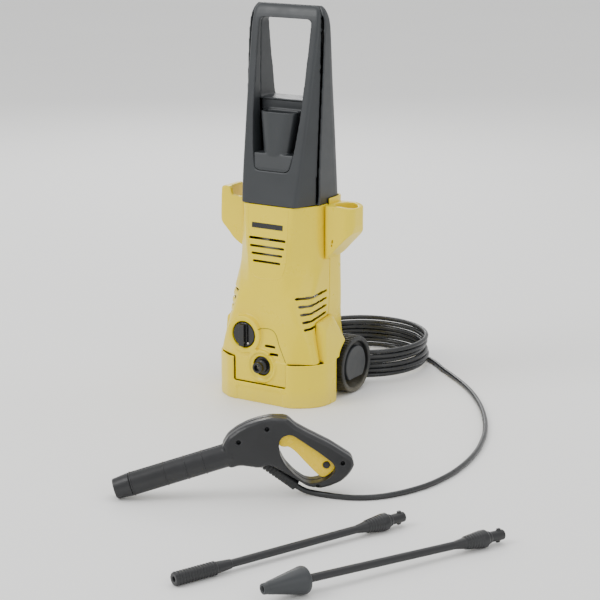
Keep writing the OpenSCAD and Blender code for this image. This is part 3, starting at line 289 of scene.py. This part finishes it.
def enamelled_copper(colours):
    """Enamelled copper wire wound on the stator: fine parallel strands under varnish."""
    return finish(
        "enamelled_copper", linear("#A65A2C"), linear("#7C3D1C"),
        4, (0.25, 0.4), 0.8, 0.2, (1, 1, 0.05), Metallic=1.0,
    )


def natural_nylon(colours):
    """Unpigmented nylon of the gear, fan, filter and marker: milky off-white."""
    return finish("natural_nylon", linear("#E8E4D8"), linear("#D6D0BF"), 10, (0.35, 0.5), 0.5, 0.02, IOR=1.53)


def painted_joint_shadow_abs(colours):
    """Dark amber painted shadow: the shade that falls into a narrow moulding joint between two yellow covers.
    """
    return finish("painted_joint_shadow_abs", linear("#7C6B12"), linear("#5E500C"), 6, (0.6, 0.8), 0.4, 0.02, IOR=1.5)


def label_vinyl(colours):
    """Blank black vinyl label with a satin overlaminate."""
    return finish("label_vinyl", linear("#17181A"), linear("#222326"), 12, (0.25, 0.34), 0.3, 0.01, IOR=1.5)


def studio_paper(colours):
    """Matte white background paper."""
    return finish("studio_paper", linear("#FAFAF9"), linear("#F4F4F2"), 900, (0.8, 0.9), 3, 0.02, IOR=1.45)


SLOT_FINISH = {
    "yellow_plastic": yellow_abs,
    "charcoal_plastic": charcoal_polypropylene,
    "black_plastic": black_nylon,
    "hose_rubber": hose_pvc,
    "zinc_steel": zinc_steel,
    "cast_aluminium": die_cast_aluminium,
    "brass_parts": turned_brass,
    "copper_winding": enamelled_copper,
    "pale_plastic": natural_nylon,
}
NODE_FINISH = {
    "gun_trigger": yellow_trigger_abs,
    "switch_knob": knob_nylon,
    "hose_boot": boot_rubber,
    "gun_screws": blacked_steel,
    "wheel_left": wheel_polypropylene,
    "wheel_right": wheel_polypropylene,
    "wheel_cap_left": hubcap_polypropylene,
    "wheel_cap_right": hubcap_polypropylene,
}


def material(make):
    """The material that a function makes, made once."""
    return bpy.data.materials.get(make.__name__) or make(bpy.context.scene.washer_colours)


def paint(piece, make):
    """Gives a piece one material in every slot."""
    if piece.data.materials:
        for index in range(len(piece.data.materials)):
            piece.data.materials[index] = material(make)
    else:
        piece.data.materials.append(material(make))


# --- shapes ----------------------------------------------------------------------------------------


def soften(node, step, passes):
    """Rounds a node's sharp CAD edges as a moulding's are, through a fine skin of the given step in mm."""
    piece = frame["nodes"][node]
    skin = piece.modifiers.new("moulding skin", "REMESH")
    skin.mode = "VOXEL"
    skin.voxel_size = step * MM
    skin.use_smooth_shade = True
    rounding = piece.modifiers.new("moulding radii", "SMOOTH")
    rounding.factor = 0.5
    rounding.iterations = passes


def cut_clean(node, step, passes, bars):
    """A copy of a node with rounded edges, through which straight bars are cut clean again."""
    source = frame["nodes"][node]
    piece = bpy.data.objects.new(node + "_moulding", source.data.copy())
    bpy.context.scene.collection.objects.link(piece)
    skin = piece.modifiers.new("moulding skin", "REMESH")
    skin.mode = "VOXEL"
    skin.voxel_size = step * MM
    rounding = piece.modifiers.new("moulding radii", "SMOOTH")
    rounding.factor = 0.5
    rounding.iterations = passes
    bar_mesh = bpy.data.meshes.new("bars")
    bars.to_mesh(bar_mesh)
    bars.free()
    cutter = bpy.data.objects.new("bars", bar_mesh)
    bpy.context.scene.collection.objects.link(cutter)
    cut = piece.modifiers.new("slots", "BOOLEAN")
    cut.operation = "DIFFERENCE"
    cut.solver = "EXACT"
    cut.object = cutter
    context = bpy.context.evaluated_depsgraph_get()
    mesh = bpy.data.meshes.new_from_object(piece.evaluated_get(context))
    if len(mesh.polygons) < len(source.data.polygons):
        raise RuntimeError(f"{node}: cutting the bars left {len(mesh.polygons)} faces")
    for old in (cutter, piece):
        bpy.data.objects.remove(old)
    mesh.set_sharp_from_angle(angle=math.radians(45))
    piece = bpy.data.objects.new(node + "_moulding", mesh)
    bpy.context.scene.collection.objects.link(piece)
    paint(piece, SLOT_FINISH[slot_of(node)])
    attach(piece, body_of(node))
    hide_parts(node)
    return piece


def add_bar(bars, place, size, tilt=0.0):
    """Adds a straight bar, in millimetres, with ends rounded in the plane of a slot."""
    matrix = Matrix.Translation(Vector(place) * MM) @ Matrix.Rotation(tilt, 4, "X")
    made = bmesh.ops.create_cube(bars, size=1, matrix=matrix @ Matrix.Diagonal((*(Vector(size) * MM), 1)))
    long_axis = 0 if size[0] > size[1] else 1
    through = 1 - long_axis
    edges = [
        e
        for e in {e for v in made["verts"] for e in v.link_edges}
        if abs((e.verts[0].co - e.verts[1].co)[through]) > size[through] * MM * 0.9
    ]
    bmesh.ops.bevel(
        bars, geom=edges, offset=size[2] * 0.45 * MM, segments=3, profile=0.5, material=-1, affect="EDGES"
    )


def put(name, shape, body, make):
    """Makes an object from a bmesh, in place, and lets it ride on a body."""
    bmesh.ops.recalc_face_normals(shape, faces=shape.faces)
    mesh = bpy.data.meshes.new(name)
    shape.to_mesh(mesh)
    shape.free()
    piece = bpy.data.objects.new(name, mesh)
    bpy.context.scene.collection.objects.link(piece)
    paint(piece, make)
    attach(piece, body)
    return piece


def bead(name, points, radius, body, make, closed=False):
    """A thin round bead along points."""
    line = bpy.data.curves.new(name, "CURVE")
    line.dimensions = "3D"
    line.bevel_depth = 1.0
    line.bevel_resolution = 3
    line.use_fill_caps = True
    spline = line.splines.new("POLY")
    spline.points.add(len(points) - 1)
    for place, point in zip(spline.points, points):
        place.co = (*point, 1)
        place.radius = radius
    spline.use_cyclic_u = closed
    spline.use_smooth = True
    piece = bpy.data.objects.new(name, line)
    bpy.context.scene.collection.objects.link(piece)
    paint(piece, make)
    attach(piece, body)
    return piece


def smooth_route(points, parts):
    """Points on a smooth curve through the given ones, with the same rule as the CAD route."""
    found = []
    for i in range(len(points) - 1):
        a, b = points[max(i - 1, 0)], points[i]
        c, d = points[i + 1], points[min(i + 2, len(points) - 1)]
        for k in range(parts):
            t = k / parts
            curve = 2 * b + (c - a) * t + (2 * a - 5 * b + 4 * c - d) * t * t + (3 * b - a - 3 * c + d) * t**3
            found.append(curve / 2)
    return found + [points[-1]]


def surface_of(node):
    """Something to drop points onto: the node's own surface."""
    mesh = frame["nodes"][node].data
    return BVHTree.FromPolygons([v.co for v in mesh.vertices], [tuple(p.vertices) for p in mesh.polygons])


def on_front(tree, x, z):
    """The point of a front surface at x and z, seen from the front."""
    hit = tree.ray_cast(Vector((x, -0.4, z)), Vector((0, 1, 0)))
    if hit[0] is None:
        raise RuntimeError(f"no surface at x {x:.3f}, z {z:.3f}")
    return hit[0]


# --- properties ------------------------------------------------------------------------------------


def colour_property(name, description, code):
    """A colour that the panel shows, with its default from a hex code."""
    return FloatVectorProperty(
        name=name, description=description, subtype="COLOR", size=3, min=0, max=1, default=linear(code)
    )


def length_property(name, description, default):
    """A length in metres that the panel shows."""
    return FloatProperty(
        name=name, description=description, unit="LENGTH", default=default, min=0, precision=5
    )


class WasherColours(PropertyGroup):
    """Colours of the washer's plastics"""

    body: colour_property("Body", "Yellow of the covers, tray and holders", "#F5DC00")
    trigger: colour_property("Trigger", "Yellow of the trigger", "#F4D313")
    tower: colour_property("Tower", "Charcoal of the handle tower", "#34373A")
    fittings: colour_property("Fittings", "Black of the gun, knob and couplings", "#131416")
    hose: colour_property("Hose", "Black of the hose", "#121315")


class WasherSizes(PropertyGroup):
    """Sizes of the pieces that are finished here"""

    hose_diameter: length_property("Hose diameter", "Outer diameter of the hose", 7.5 * MM)
    hose_length: length_property("Hose length", "Real length of the hose between nut and gun", 4.78)
    coil_radius: length_property("Coil radius", "Radius of the coil's centre line", 96 * MM)
    coil_stray: length_property("Coil stray", "How far the turns stray sideways", 2.5 * MM)
    tread_bars: IntProperty(name="Tread bars", description="Bars round a wheel's tread", default=54, min=12)
    tread_height: length_property("Tread height", "Height of a tread bar", 1.1 * MM)
    # Radius of the bead of painted shadow drawn along a moulding joint
    line_radius: length_property("Joint line", "Radius of a moulding joint's line", 0.45 * MM)
    ridge_radius: length_property("Ridge", "Radius of the front panel's raised edge", 1.2 * MM)
    label_width: length_property("Label width", "Width of the blank label", 54 * MM)
    label_height: length_property("Label height", "Height of the blank label", 8 * MM)


# --- the stage -------------------------------------------------------------------------------------

CAMERA_TURN = math.radians(32)
CAMERA_DIP = math.radians(14.7)
CAMERA_PLACE = (1.474, -2.327, 0.864)
CAMERA_LENS = 112.4
FLOOR_HALF = 20
LIGHT_AIM = (0.1, -0.2, 0.25)
# Name, place, size and power in watts of each soft light
LIGHTS = [
    ("key", (-1.5, -2.3, 2.4), 1.4, 42),
    ("fill", (2.6, -1.4, 1.4), 1.8, 10),
    ("top", (0.2, 0.4, 2.8), 2.4, 22),
    ("rim", (-1.4, 1.8, 1.5), 1.0, 18),
]


class WASHER_OT_stage(Operator):
    """Sets the camera, the soft lights and the paper floor"""

    bl_idname = "washer.stage"
    bl_label = "Stage"

    def execute(self, context):
        scene = context.scene
        camera = bpy.data.objects.new("camera", bpy.data.cameras.new("camera"))
        look = Vector((
            -math.sin(CAMERA_TURN) * math.cos(CAMERA_DIP),
            math.cos(CAMERA_TURN) * math.cos(CAMERA_DIP),
            -math.sin(CAMERA_DIP),
        ))
        camera.data.lens = CAMERA_LENS
        camera.location = CAMERA_PLACE
        camera.rotation_euler = look.to_track_quat("-Z", "Y").to_euler()
        scene.collection.objects.link(camera)
        scene.camera = camera
        for name, place, size, power in LIGHTS:
            lamp = bpy.data.lights.new(name, "AREA")
            lamp.size = size
            lamp.energy = power
            holder = bpy.data.objects.new(name, lamp)
            holder.location = place
            aim = Vector(LIGHT_AIM) - Vector(place)
            holder.rotation_euler = aim.to_track_quat("-Z", "Y").to_euler()
            scene.collection.objects.link(holder)
        world = bpy.data.worlds.new("studio")
        world.use_nodes = True
        world.node_tree.nodes["Background"].inputs["Color"].default_value = (*linear("#FFFFFF"), 1)
        world.node_tree.nodes["Background"].inputs["Strength"].default_value = 1.0
        scene.world = world
        shape = bmesh.new()
        bmesh.ops.create_grid(shape, x_segments=1, y_segments=1, size=FLOOR_HALF)
        mesh = bpy.data.meshes.new("floor")
        shape.to_mesh(mesh)
        shape.free()
        floor = bpy.data.objects.new("floor", mesh)
        scene.collection.objects.link(floor)
        paint(floor, studio_paper)
        return {"FINISHED"}


# --- the hose --------------------------------------------------------------------------------------

COIL_CENTRE = (30, 182)
COIL_TURNS = 6.33
COIL_PITCH = 7.6
COIL_TOP = 51.9
COIL_START = 180
TURN_POINTS = 48
LEAD_ROUTE = [
    (-14, 97, 62), (-14, 108, 62), (-16, 118, 61), (-22, 130, 59), (-33, 142, 57), (-46, 153, 55),
    (-57, 164, 53), (-63, 174, 52),
]
RUN_ROUTE = [
    (98, 254, 3.8), (119, 241, 3.8), (137, 227, 3.8), (154, 211, 3.8),
    (172, 196, 3.8), (190, 181, 3.8), (213, 161, 3.8), (236, 139, 3.8), (258, 115, 3.8), (279, 89, 3.8),
    (300, 60, 3.8), (319, 30, 3.8), (335, 2, 3.8), (348, -24, 3.8), (359, -49, 3.8), (368, -74, 3.8),
    (377, -102, 3.8), (384, -131, 3.8), (389, -160, 3.8), (392, -189, 3.8), (393, -217, 3.8),
    (391, -245, 3.8), (387, -270, 3.8), (380, -293, 3.8), (371, -314, 3.8), (360, -333, 3.8),
    (347, -348, 3.8), (332, -359, 3.8), (315, -367, 3.8), (296, -371.5, 3.8), (276, -374.5, 4),
    (263.2, -377.6, 6), (252.9, -383.1, 12.5), (246.5, -387.6, 18.7),
]


def coil_route(sizes):
    """Points down the coil, clockwise from above. The middle turns stray a little, as laid by hand."""
    found = []
    steps = round(COIL_TURNS * TURN_POINTS)
    for k in range(steps + 1):
        turns = COIL_TURNS * k / steps
        angle = math.radians(COIL_START - 360 * turns)
        ease = min(1, turns / 0.7, (COIL_TURNS - turns) / 0.7)
        stray = sizes.coil_stray * ease
        centre_x = COIL_CENTRE[0] * MM + stray * math.sin(1.9 * turns)
        centre_y = COIL_CENTRE[1] * MM + stray * math.cos(1.3 * turns + 0.6)
        found.append(Vector((
            centre_x + sizes.coil_radius * math.cos(angle),
            centre_y + sizes.coil_radius * math.sin(angle),
            (COIL_TOP - COIL_PITCH * turns) * MM,
        )))
    return found


class WASHER_OT_hose(Operator):
    """Lays the hose from the outlet through its coil to the gun, in one length"""

    bl_idname = "washer.hose"
    bl_label = "Hose"

    def execute(self, context):
        sizes = context.scene.washer_sizes
        lead = [Vector(p) * MM for p in LEAD_ROUTE]
        run = [Vector(p) * MM for p in RUN_ROUTE]
        coil = coil_route(sizes)
        into_coil = smooth_route(lead + coil[:2], 5)[:-5]
        out_of_coil = smooth_route(coil[-2:] + run, 4)[5:]
        route = into_coil + coil + out_of_coil
        hose = bead("hose", route, sizes.hose_diameter / 2, "root", hose_pvc)
        hose.data.bevel_resolution = 4
        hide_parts("hose_lead", "hose_coil", "hose_run")
        return {"FINISHED"}


# --- body ------------------------------------------------------------------------------------------

# node: step of the skin in mm and passes of rounding
BODY_SKINS = {
    "base_tray": (1.5, 5),
    "rear_cover": (1.3, 4),
    "tower_front": (1.25, 4),
    "tower_rear": (1.5, 4),
    "nozzle_pocket": (1.2, 4),
    "gun_holder": (1.0, 7),
    "hose_hook": (1.0, 7),
}


# Height of a slot in the source, and how much wider it is cut to clear the skin's rounding
SLOT_TALL = 3
SLOT_GROW = 0.7
# Front slots: height and half width in mm
FRONT_SLOTS = [(247.4, 32), (235.6, 30), (224.5, 27), (213.1, 24)]
# Low front slots: height, left end and right end in mm
LOW_SLOTS = [(88.5, 6, 24), (77.4, 16, 30)]
# Side slots: height of their front end. They run back and rise a little
SIDE_SLOTS = [162.5, 150.9, 139.5, 128.2, 117.5]
SIDE_SLOT_FRONT = -62
SIDE_SLOT_LONG = 58
SIDE_SLOT_TILT = math.radians(5)


def front_bars():
    """Bars for the slots of the front cover."""
    bars = bmesh.new()
    tall = SLOT_TALL + SLOT_GROW
    for height, half in FRONT_SLOTS:
        add_bar(bars, (0, -78, height), (2 * half + SLOT_GROW, 40, tall))
    for height, left, right in LOW_SLOTS:
        add_bar(bars, ((left + right) / 2, -83, height), (right - left + SLOT_GROW, 30, tall))
    for height in SIDE_SLOTS:
        reach = SIDE_SLOT_LONG / 2
        middle_y = SIDE_SLOT_FRONT + reach * math.cos(SIDE_SLOT_TILT)
        middle_z = height + reach * math.sin(SIDE_SLOT_TILT)
        for side in (-1, 1):
            add_bar(
                bars, (side * 78, middle_y, middle_z), (40, SIDE_SLOT_LONG + SLOT_GROW, tall), SIDE_SLOT_TILT
            )
    return bars


class WASHER_OT_body(Operator):
    """Rounds the tray, covers, tower and holders as mouldings are"""

    bl_idname = "washer.body"
    bl_label = "Body"

    def execute(self, context):
        for node, (step, passes) in BODY_SKINS.items():
            soften(node, step, passes)
        cut_clean("front_cover", 1.25, 4, front_bars())
        return {"FINISHED"}


# Joint of the small front cover right of the knob, as x and z in mm, along which a painted shadow line runs
SERVICE_JOINT = [(-3, 113.5), (10.4, 114.5), (19.4, 112), (25.3, 105.6), (32, 91), (44, 68)]
# Right half of the raised edge round the upper front panel, from the top down
PANEL_EDGE = [(35, 294), (34.5, 262), (33.5, 234), (31.5, 210), (27, 195), (17, 189), (0, 187.5)]
LABEL_HEIGHT_ABOVE_FLOOR = 267


class WASHER_OT_body_details(Operator):
    """Adds the front panel's raised edge, a painted shadow line along the service joint and a blank label"""

    bl_idname = "washer.body_details"
    bl_label = "Body details"

    def execute(self, context):
        sizes = context.scene.washer_sizes
        cover = surface_of("front_cover")
        half = smooth_route([Vector((x, z)) for x, z in PANEL_EDGE], 6)
        edge = half + [Vector((-p.x, p.y)) for p in reversed(half[:-1])]
        sink = Vector((0, sizes.ridge_radius * 0.55, 0))
        ridge = bead(
            "front_panel_edge",
            [on_front(cover, p.x * MM, p.y * MM) + sink for p in edge],
            sizes.ridge_radius,
            "root",
            yellow_abs,
        )
        # The service joint is drawn as a thin dark bead of painted shadow, standing in for the shade inside
        # the gap
        joint_shadow_route = smooth_route([Vector((x, z)) for x, z in SERVICE_JOINT], 6)
        line = bead(
            "service_cover_joint_shadow",
            [on_front(cover, p.x * MM, p.y * MM) for p in joint_shadow_route],
            sizes.line_radius,
            "root",
            painted_joint_shadow_abs,
        )
        self.label(cover, sizes)
        return {"FINISHED"}

    def label(self, cover, sizes):
        """A thin blank label that follows the cover."""
        shape = bmesh.new()
        bmesh.ops.create_grid(shape, x_segments=18, y_segments=3, size=0.5)
        for vertex in shape.verts:
            x = vertex.co.x * sizes.label_width
            z = LABEL_HEIGHT_ABOVE_FLOOR * MM + vertex.co.y * sizes.label_height
            vertex.co = on_front(cover, x, z)
        thickness = 0.3 * MM
        bmesh.ops.recalc_face_normals(shape, faces=shape.faces)
        bmesh.ops.solidify(shape, geom=shape.faces[:], thickness=thickness)
        bmesh.ops.translate(shape, verts=shape.verts, vec=(0, -thickness, 0))
        put("blank_label", shape, "root", label_vinyl)


# --- switch and connections --------------------------------------------------------------------------

SMALL_SKINS = {
    "switch_knob": (0.5, 4),
    "inlet_coupling": (0.4, 3),
    "inlet_nut": (0.6, 3),
    "hose_nut": (0.5, 3),
    "mains_gland": (0.5, 3),
    "wheel_cap_left": (0.8, 4),
    "wheel_cap_right": (0.8, 4),
}


class WASHER_OT_fittings(Operator):
    """Rounds the knob, the couplings, the gland and the wheel caps"""

    bl_idname = "washer.fittings"
    bl_label = "Knob and fittings"

    def execute(self, context):
        for node, (step, passes) in SMALL_SKINS.items():
            soften(node, step, passes)
        return {"FINISHED"}


# --- wheels ------------------------------------------------------------------------------------------

RIM_WALL = 8
HUB_RADIUS = 11
DISC_THICK = 5
DISC_INSET = 7
WINDOW_TOP = -21
BORE = 5.08


def ring(shape, outer, inner, start, end, bevel):
    """Adds a ring about the X axis, from start to end, with bevelled corners."""
    corners = [
        (start + bevel, inner), (end - bevel, inner), (end, inner + bevel), (end, outer - bevel),
        (end - bevel, outer), (start + bevel, outer), (start, outer - bevel), (start, inner + bevel),
    ]
    points = [shape.verts.new((x * MM, 0, r * MM)) for x, r in corners]
    edges = [shape.edges.new((a, b)) for a, b in zip(points, points[1:] + points[:1])]
    bmesh.ops.spin(
        shape,
        geom=points + edges,
        cent=(0, 0, 0),
        axis=(1, 0, 0),
        dvec=(0, 0, 0),
        angle=math.tau,
        steps=96,
        use_merge=True,
        use_duplicate=False,
    )


def wheel_shape(sizes, low, high):
    """A wheel about the X axis, with its disc towards +X and a window below the disc."""
    radius = (high.z - low.z) / 2 / MM
    width = (high.x - low.x) / MM
    tread = radius - sizes.tread_height / MM
    shape = bmesh.new()
    ring(shape, tread, radius - RIM_WALL, 0, width, 1.2)
    ring(shape, HUB_RADIUS, BORE, 0, width - DISC_INSET, 0.8)
    disc = bmesh.new()
    ring(disc, radius - RIM_WALL + 0.5, BORE, width - DISC_INSET - DISC_THICK, width - DISC_INSET, 0.6)
    cut = bmesh.ops.bisect_plane(
        disc,
        geom=disc.verts[:] + disc.edges[:] + disc.faces[:],
        plane_co=(0, 0, WINDOW_TOP * MM),
        plane_no=(0, 0, -1),
        clear_outer=True,
    )
    bmesh.ops.holes_fill(disc, edges=[e for e in cut["geom_cut"] if isinstance(e, bmesh.types.BMEdge)])
    part = bpy.data.meshes.new("disc")
    disc.to_mesh(part)
    disc.free()
    shape.from_mesh(part)
    bpy.data.meshes.remove(part)
    for k in range(sizes.tread_bars):
        turn = Matrix.Rotation(math.tau * k / sizes.tread_bars, 4, "X")
        place = Matrix.Translation(((width / 2) * MM, 0, (radius - 1.15) * MM))
        grow = Matrix.Diagonal(((width - 3) * MM, 2.0 * MM, 2.2 * MM, 1))
        bar = bmesh.ops.create_cube(shape, size=1, matrix=turn @ place @ grow)
        edges = list({e for v in bar["verts"] for e in v.link_edges})
        bmesh.ops.bevel(
            shape, geom=edges, offset=0.5 * MM, segments=2, profile=0.5, material=-1, affect="EDGES"
        )
    return shape


class WASHER_OT_wheels(Operator):
    """Builds the two ribbed wheels with a window under the disc"""

    bl_idname = "washer.wheels"
    bl_label = "Wheels"

    def execute(self, context):
        sizes = context.scene.washer_sizes
        for side, body in ((1, "wheel_right"), (-1, "wheel_left")):
            low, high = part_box(body)
            middle = (low + high) / 2
            shape = wheel_shape(sizes, low, high)
            inner = low.x if side > 0 else high.x
            if side < 0:
                bmesh.ops.scale(shape, verts=shape.verts, vec=(-1, 1, 1))
            bmesh.ops.translate(shape, verts=shape.verts, vec=(inner, middle.y, middle.z))
            wheel = put(body + "_tread", shape, body, wheel_polypropylene)
            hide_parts(body)
        return {"FINISHED"}


# --- gun and lances ------------------------------------------------------------------------------------

GUN_SKINS = {
    "gun_shell_left": (0.95, 8),
    "gun_shell_right": (0.95, 8),
    "gun_trigger": (0.7, 6),
    "trigger_lock": (0.5, 3),
    "muzzle_socket": (0.6, 3),
    "hose_boot": (0.5, 3),
}
LANCE_SKINS = {
    "spray_lance": (0.7, 2),
    "spray_nozzle": (0.6, 2),
    "rotor_lance": (0.7, 2),
    "rotor_nozzle": (0.7, 4),
}
LOCK_PAD_RADIUS = 4.4
LOCK_PAD_THICK = 0.9
LOCK_PAD_OUT = 8.4
LOCK_PAD_BEVEL = 0.4
BARREL_RADIUS = 15.5
BARREL_BANDS = [24, 69, 97, 121]
BAND_RADIUS = 0.7


class WASHER_OT_gun(Operator):
    """Rounds the gun's shells and adds the bands on its barrel"""

    bl_idname = "washer.gun"
    bl_label = "Gun"

    def execute(self, context):
        for node, (step, passes) in GUN_SKINS.items():
            soften(node, step, passes)
        place = gun_matrix()
        self.lock_badge(place)
        for number, distance in enumerate(BARREL_BANDS, 1):
            points = [
                place @ Vector((
                    distance * MM,
                    BARREL_RADIUS * MM * math.cos(math.tau * k / 64),
                    BARREL_RADIUS * MM * math.sin(math.tau * k / 64),
                ))
                for k in range(64)
            ]
            band = bead(f"barrel_band_{number}", points, BAND_RADIUS * MM, "root", black_nylon, closed=True)
        return {"FINISHED"}


    def lock_badge(self, place):
        """The three-cornered thumb pads of the trigger lock, one on each side."""
        low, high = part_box("trigger_lock")
        middle = (low + high) / 2
        side = place.to_3x3() @ Vector((0, 1, 0))
        for number, away in enumerate((-1, 1), 1):
            shape = bmesh.new()
            turn = place.to_quaternion().to_matrix().to_4x4() @ Matrix.Rotation(math.radians(90), 4, "X")
            centre = middle + side * away * LOCK_PAD_OUT * MM
            bmesh.ops.create_cone(
                shape,
                cap_ends=True,
                segments=3,
                radius1=LOCK_PAD_RADIUS * MM,
                radius2=LOCK_PAD_RADIUS * MM,
                depth=LOCK_PAD_THICK * MM,
                matrix=Matrix.Translation(centre) @ turn,
            )
            bmesh.ops.bevel(
                shape,
                geom=shape.edges[:],
                offset=LOCK_PAD_BEVEL * MM,
                segments=3,
                profile=0.5,
                material=-1,
                affect="EDGES",
            )
            put(f"lock_pad_{number}", shape, body_of("trigger_lock"), black_nylon)


class WASHER_OT_lances(Operator):
    """Rounds the two lances and their nozzles"""

    bl_idname = "washer.lances"
    bl_label = "Lances"

    def execute(self, context):
        for node, (step, passes) in LANCE_SKINS.items():
            soften(node, step, passes)
        return {"FINISHED"}


class WASHER_OT_finishes(Operator):
    """Gives every node the finish of what it is made of"""

    bl_idname = "washer.finishes"
    bl_label = "Finishes"

    def execute(self, context):
        for name, piece in frame["nodes"].items():
            paint(piece, NODE_FINISH.get(name) or SLOT_FINISH[slot_of(name)])
        return {"FINISHED"}


# --- the add-on ------------------------------------------------------------------------------------------

STEPS = [
    WASHER_OT_stage,
    WASHER_OT_hose,
    WASHER_OT_finishes,
    WASHER_OT_body,
    WASHER_OT_body_details,
    WASHER_OT_fittings,
    WASHER_OT_wheels,
    WASHER_OT_gun,
    WASHER_OT_lances,
]


class WASHER_PT_panel(Panel):
    """Lists the washer's sizes, colours and pieces"""

    bl_label = "Pressure washer"
    bl_idname = "WASHER_PT_panel"
    bl_space_type = "VIEW_3D"
    bl_region_type = "UI"
    bl_category = "Washer"

    def draw(self, context):
        for group in (context.scene.washer_sizes, context.scene.washer_colours):
            for name in group.__annotations__:
                self.layout.prop(group, name)
        for step in STEPS:
            self.layout.operator(step.bl_idname)


CLASSES = [WasherColours, WasherSizes, *STEPS, WASHER_PT_panel]


def register():
    for cls in CLASSES:
        bpy.utils.register_class(cls)
    bpy.types.Scene.washer_colours = PointerProperty(type=WasherColours)
    bpy.types.Scene.washer_sizes = PointerProperty(type=WasherSizes)


def unregister():
    del bpy.types.Scene.washer_sizes
    del bpy.types.Scene.washer_colours
    for cls in reversed(CLASSES):
        bpy.utils.unregister_class(cls)


def main():
    """Registers the add-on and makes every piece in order."""
    register()
    for step in STEPS:
        group, name = step.bl_idname.split(".")
        getattr(getattr(bpy.ops, group), name)()
    bpy.context.view_layer.update()


if __name__ == "__main__":
    main()
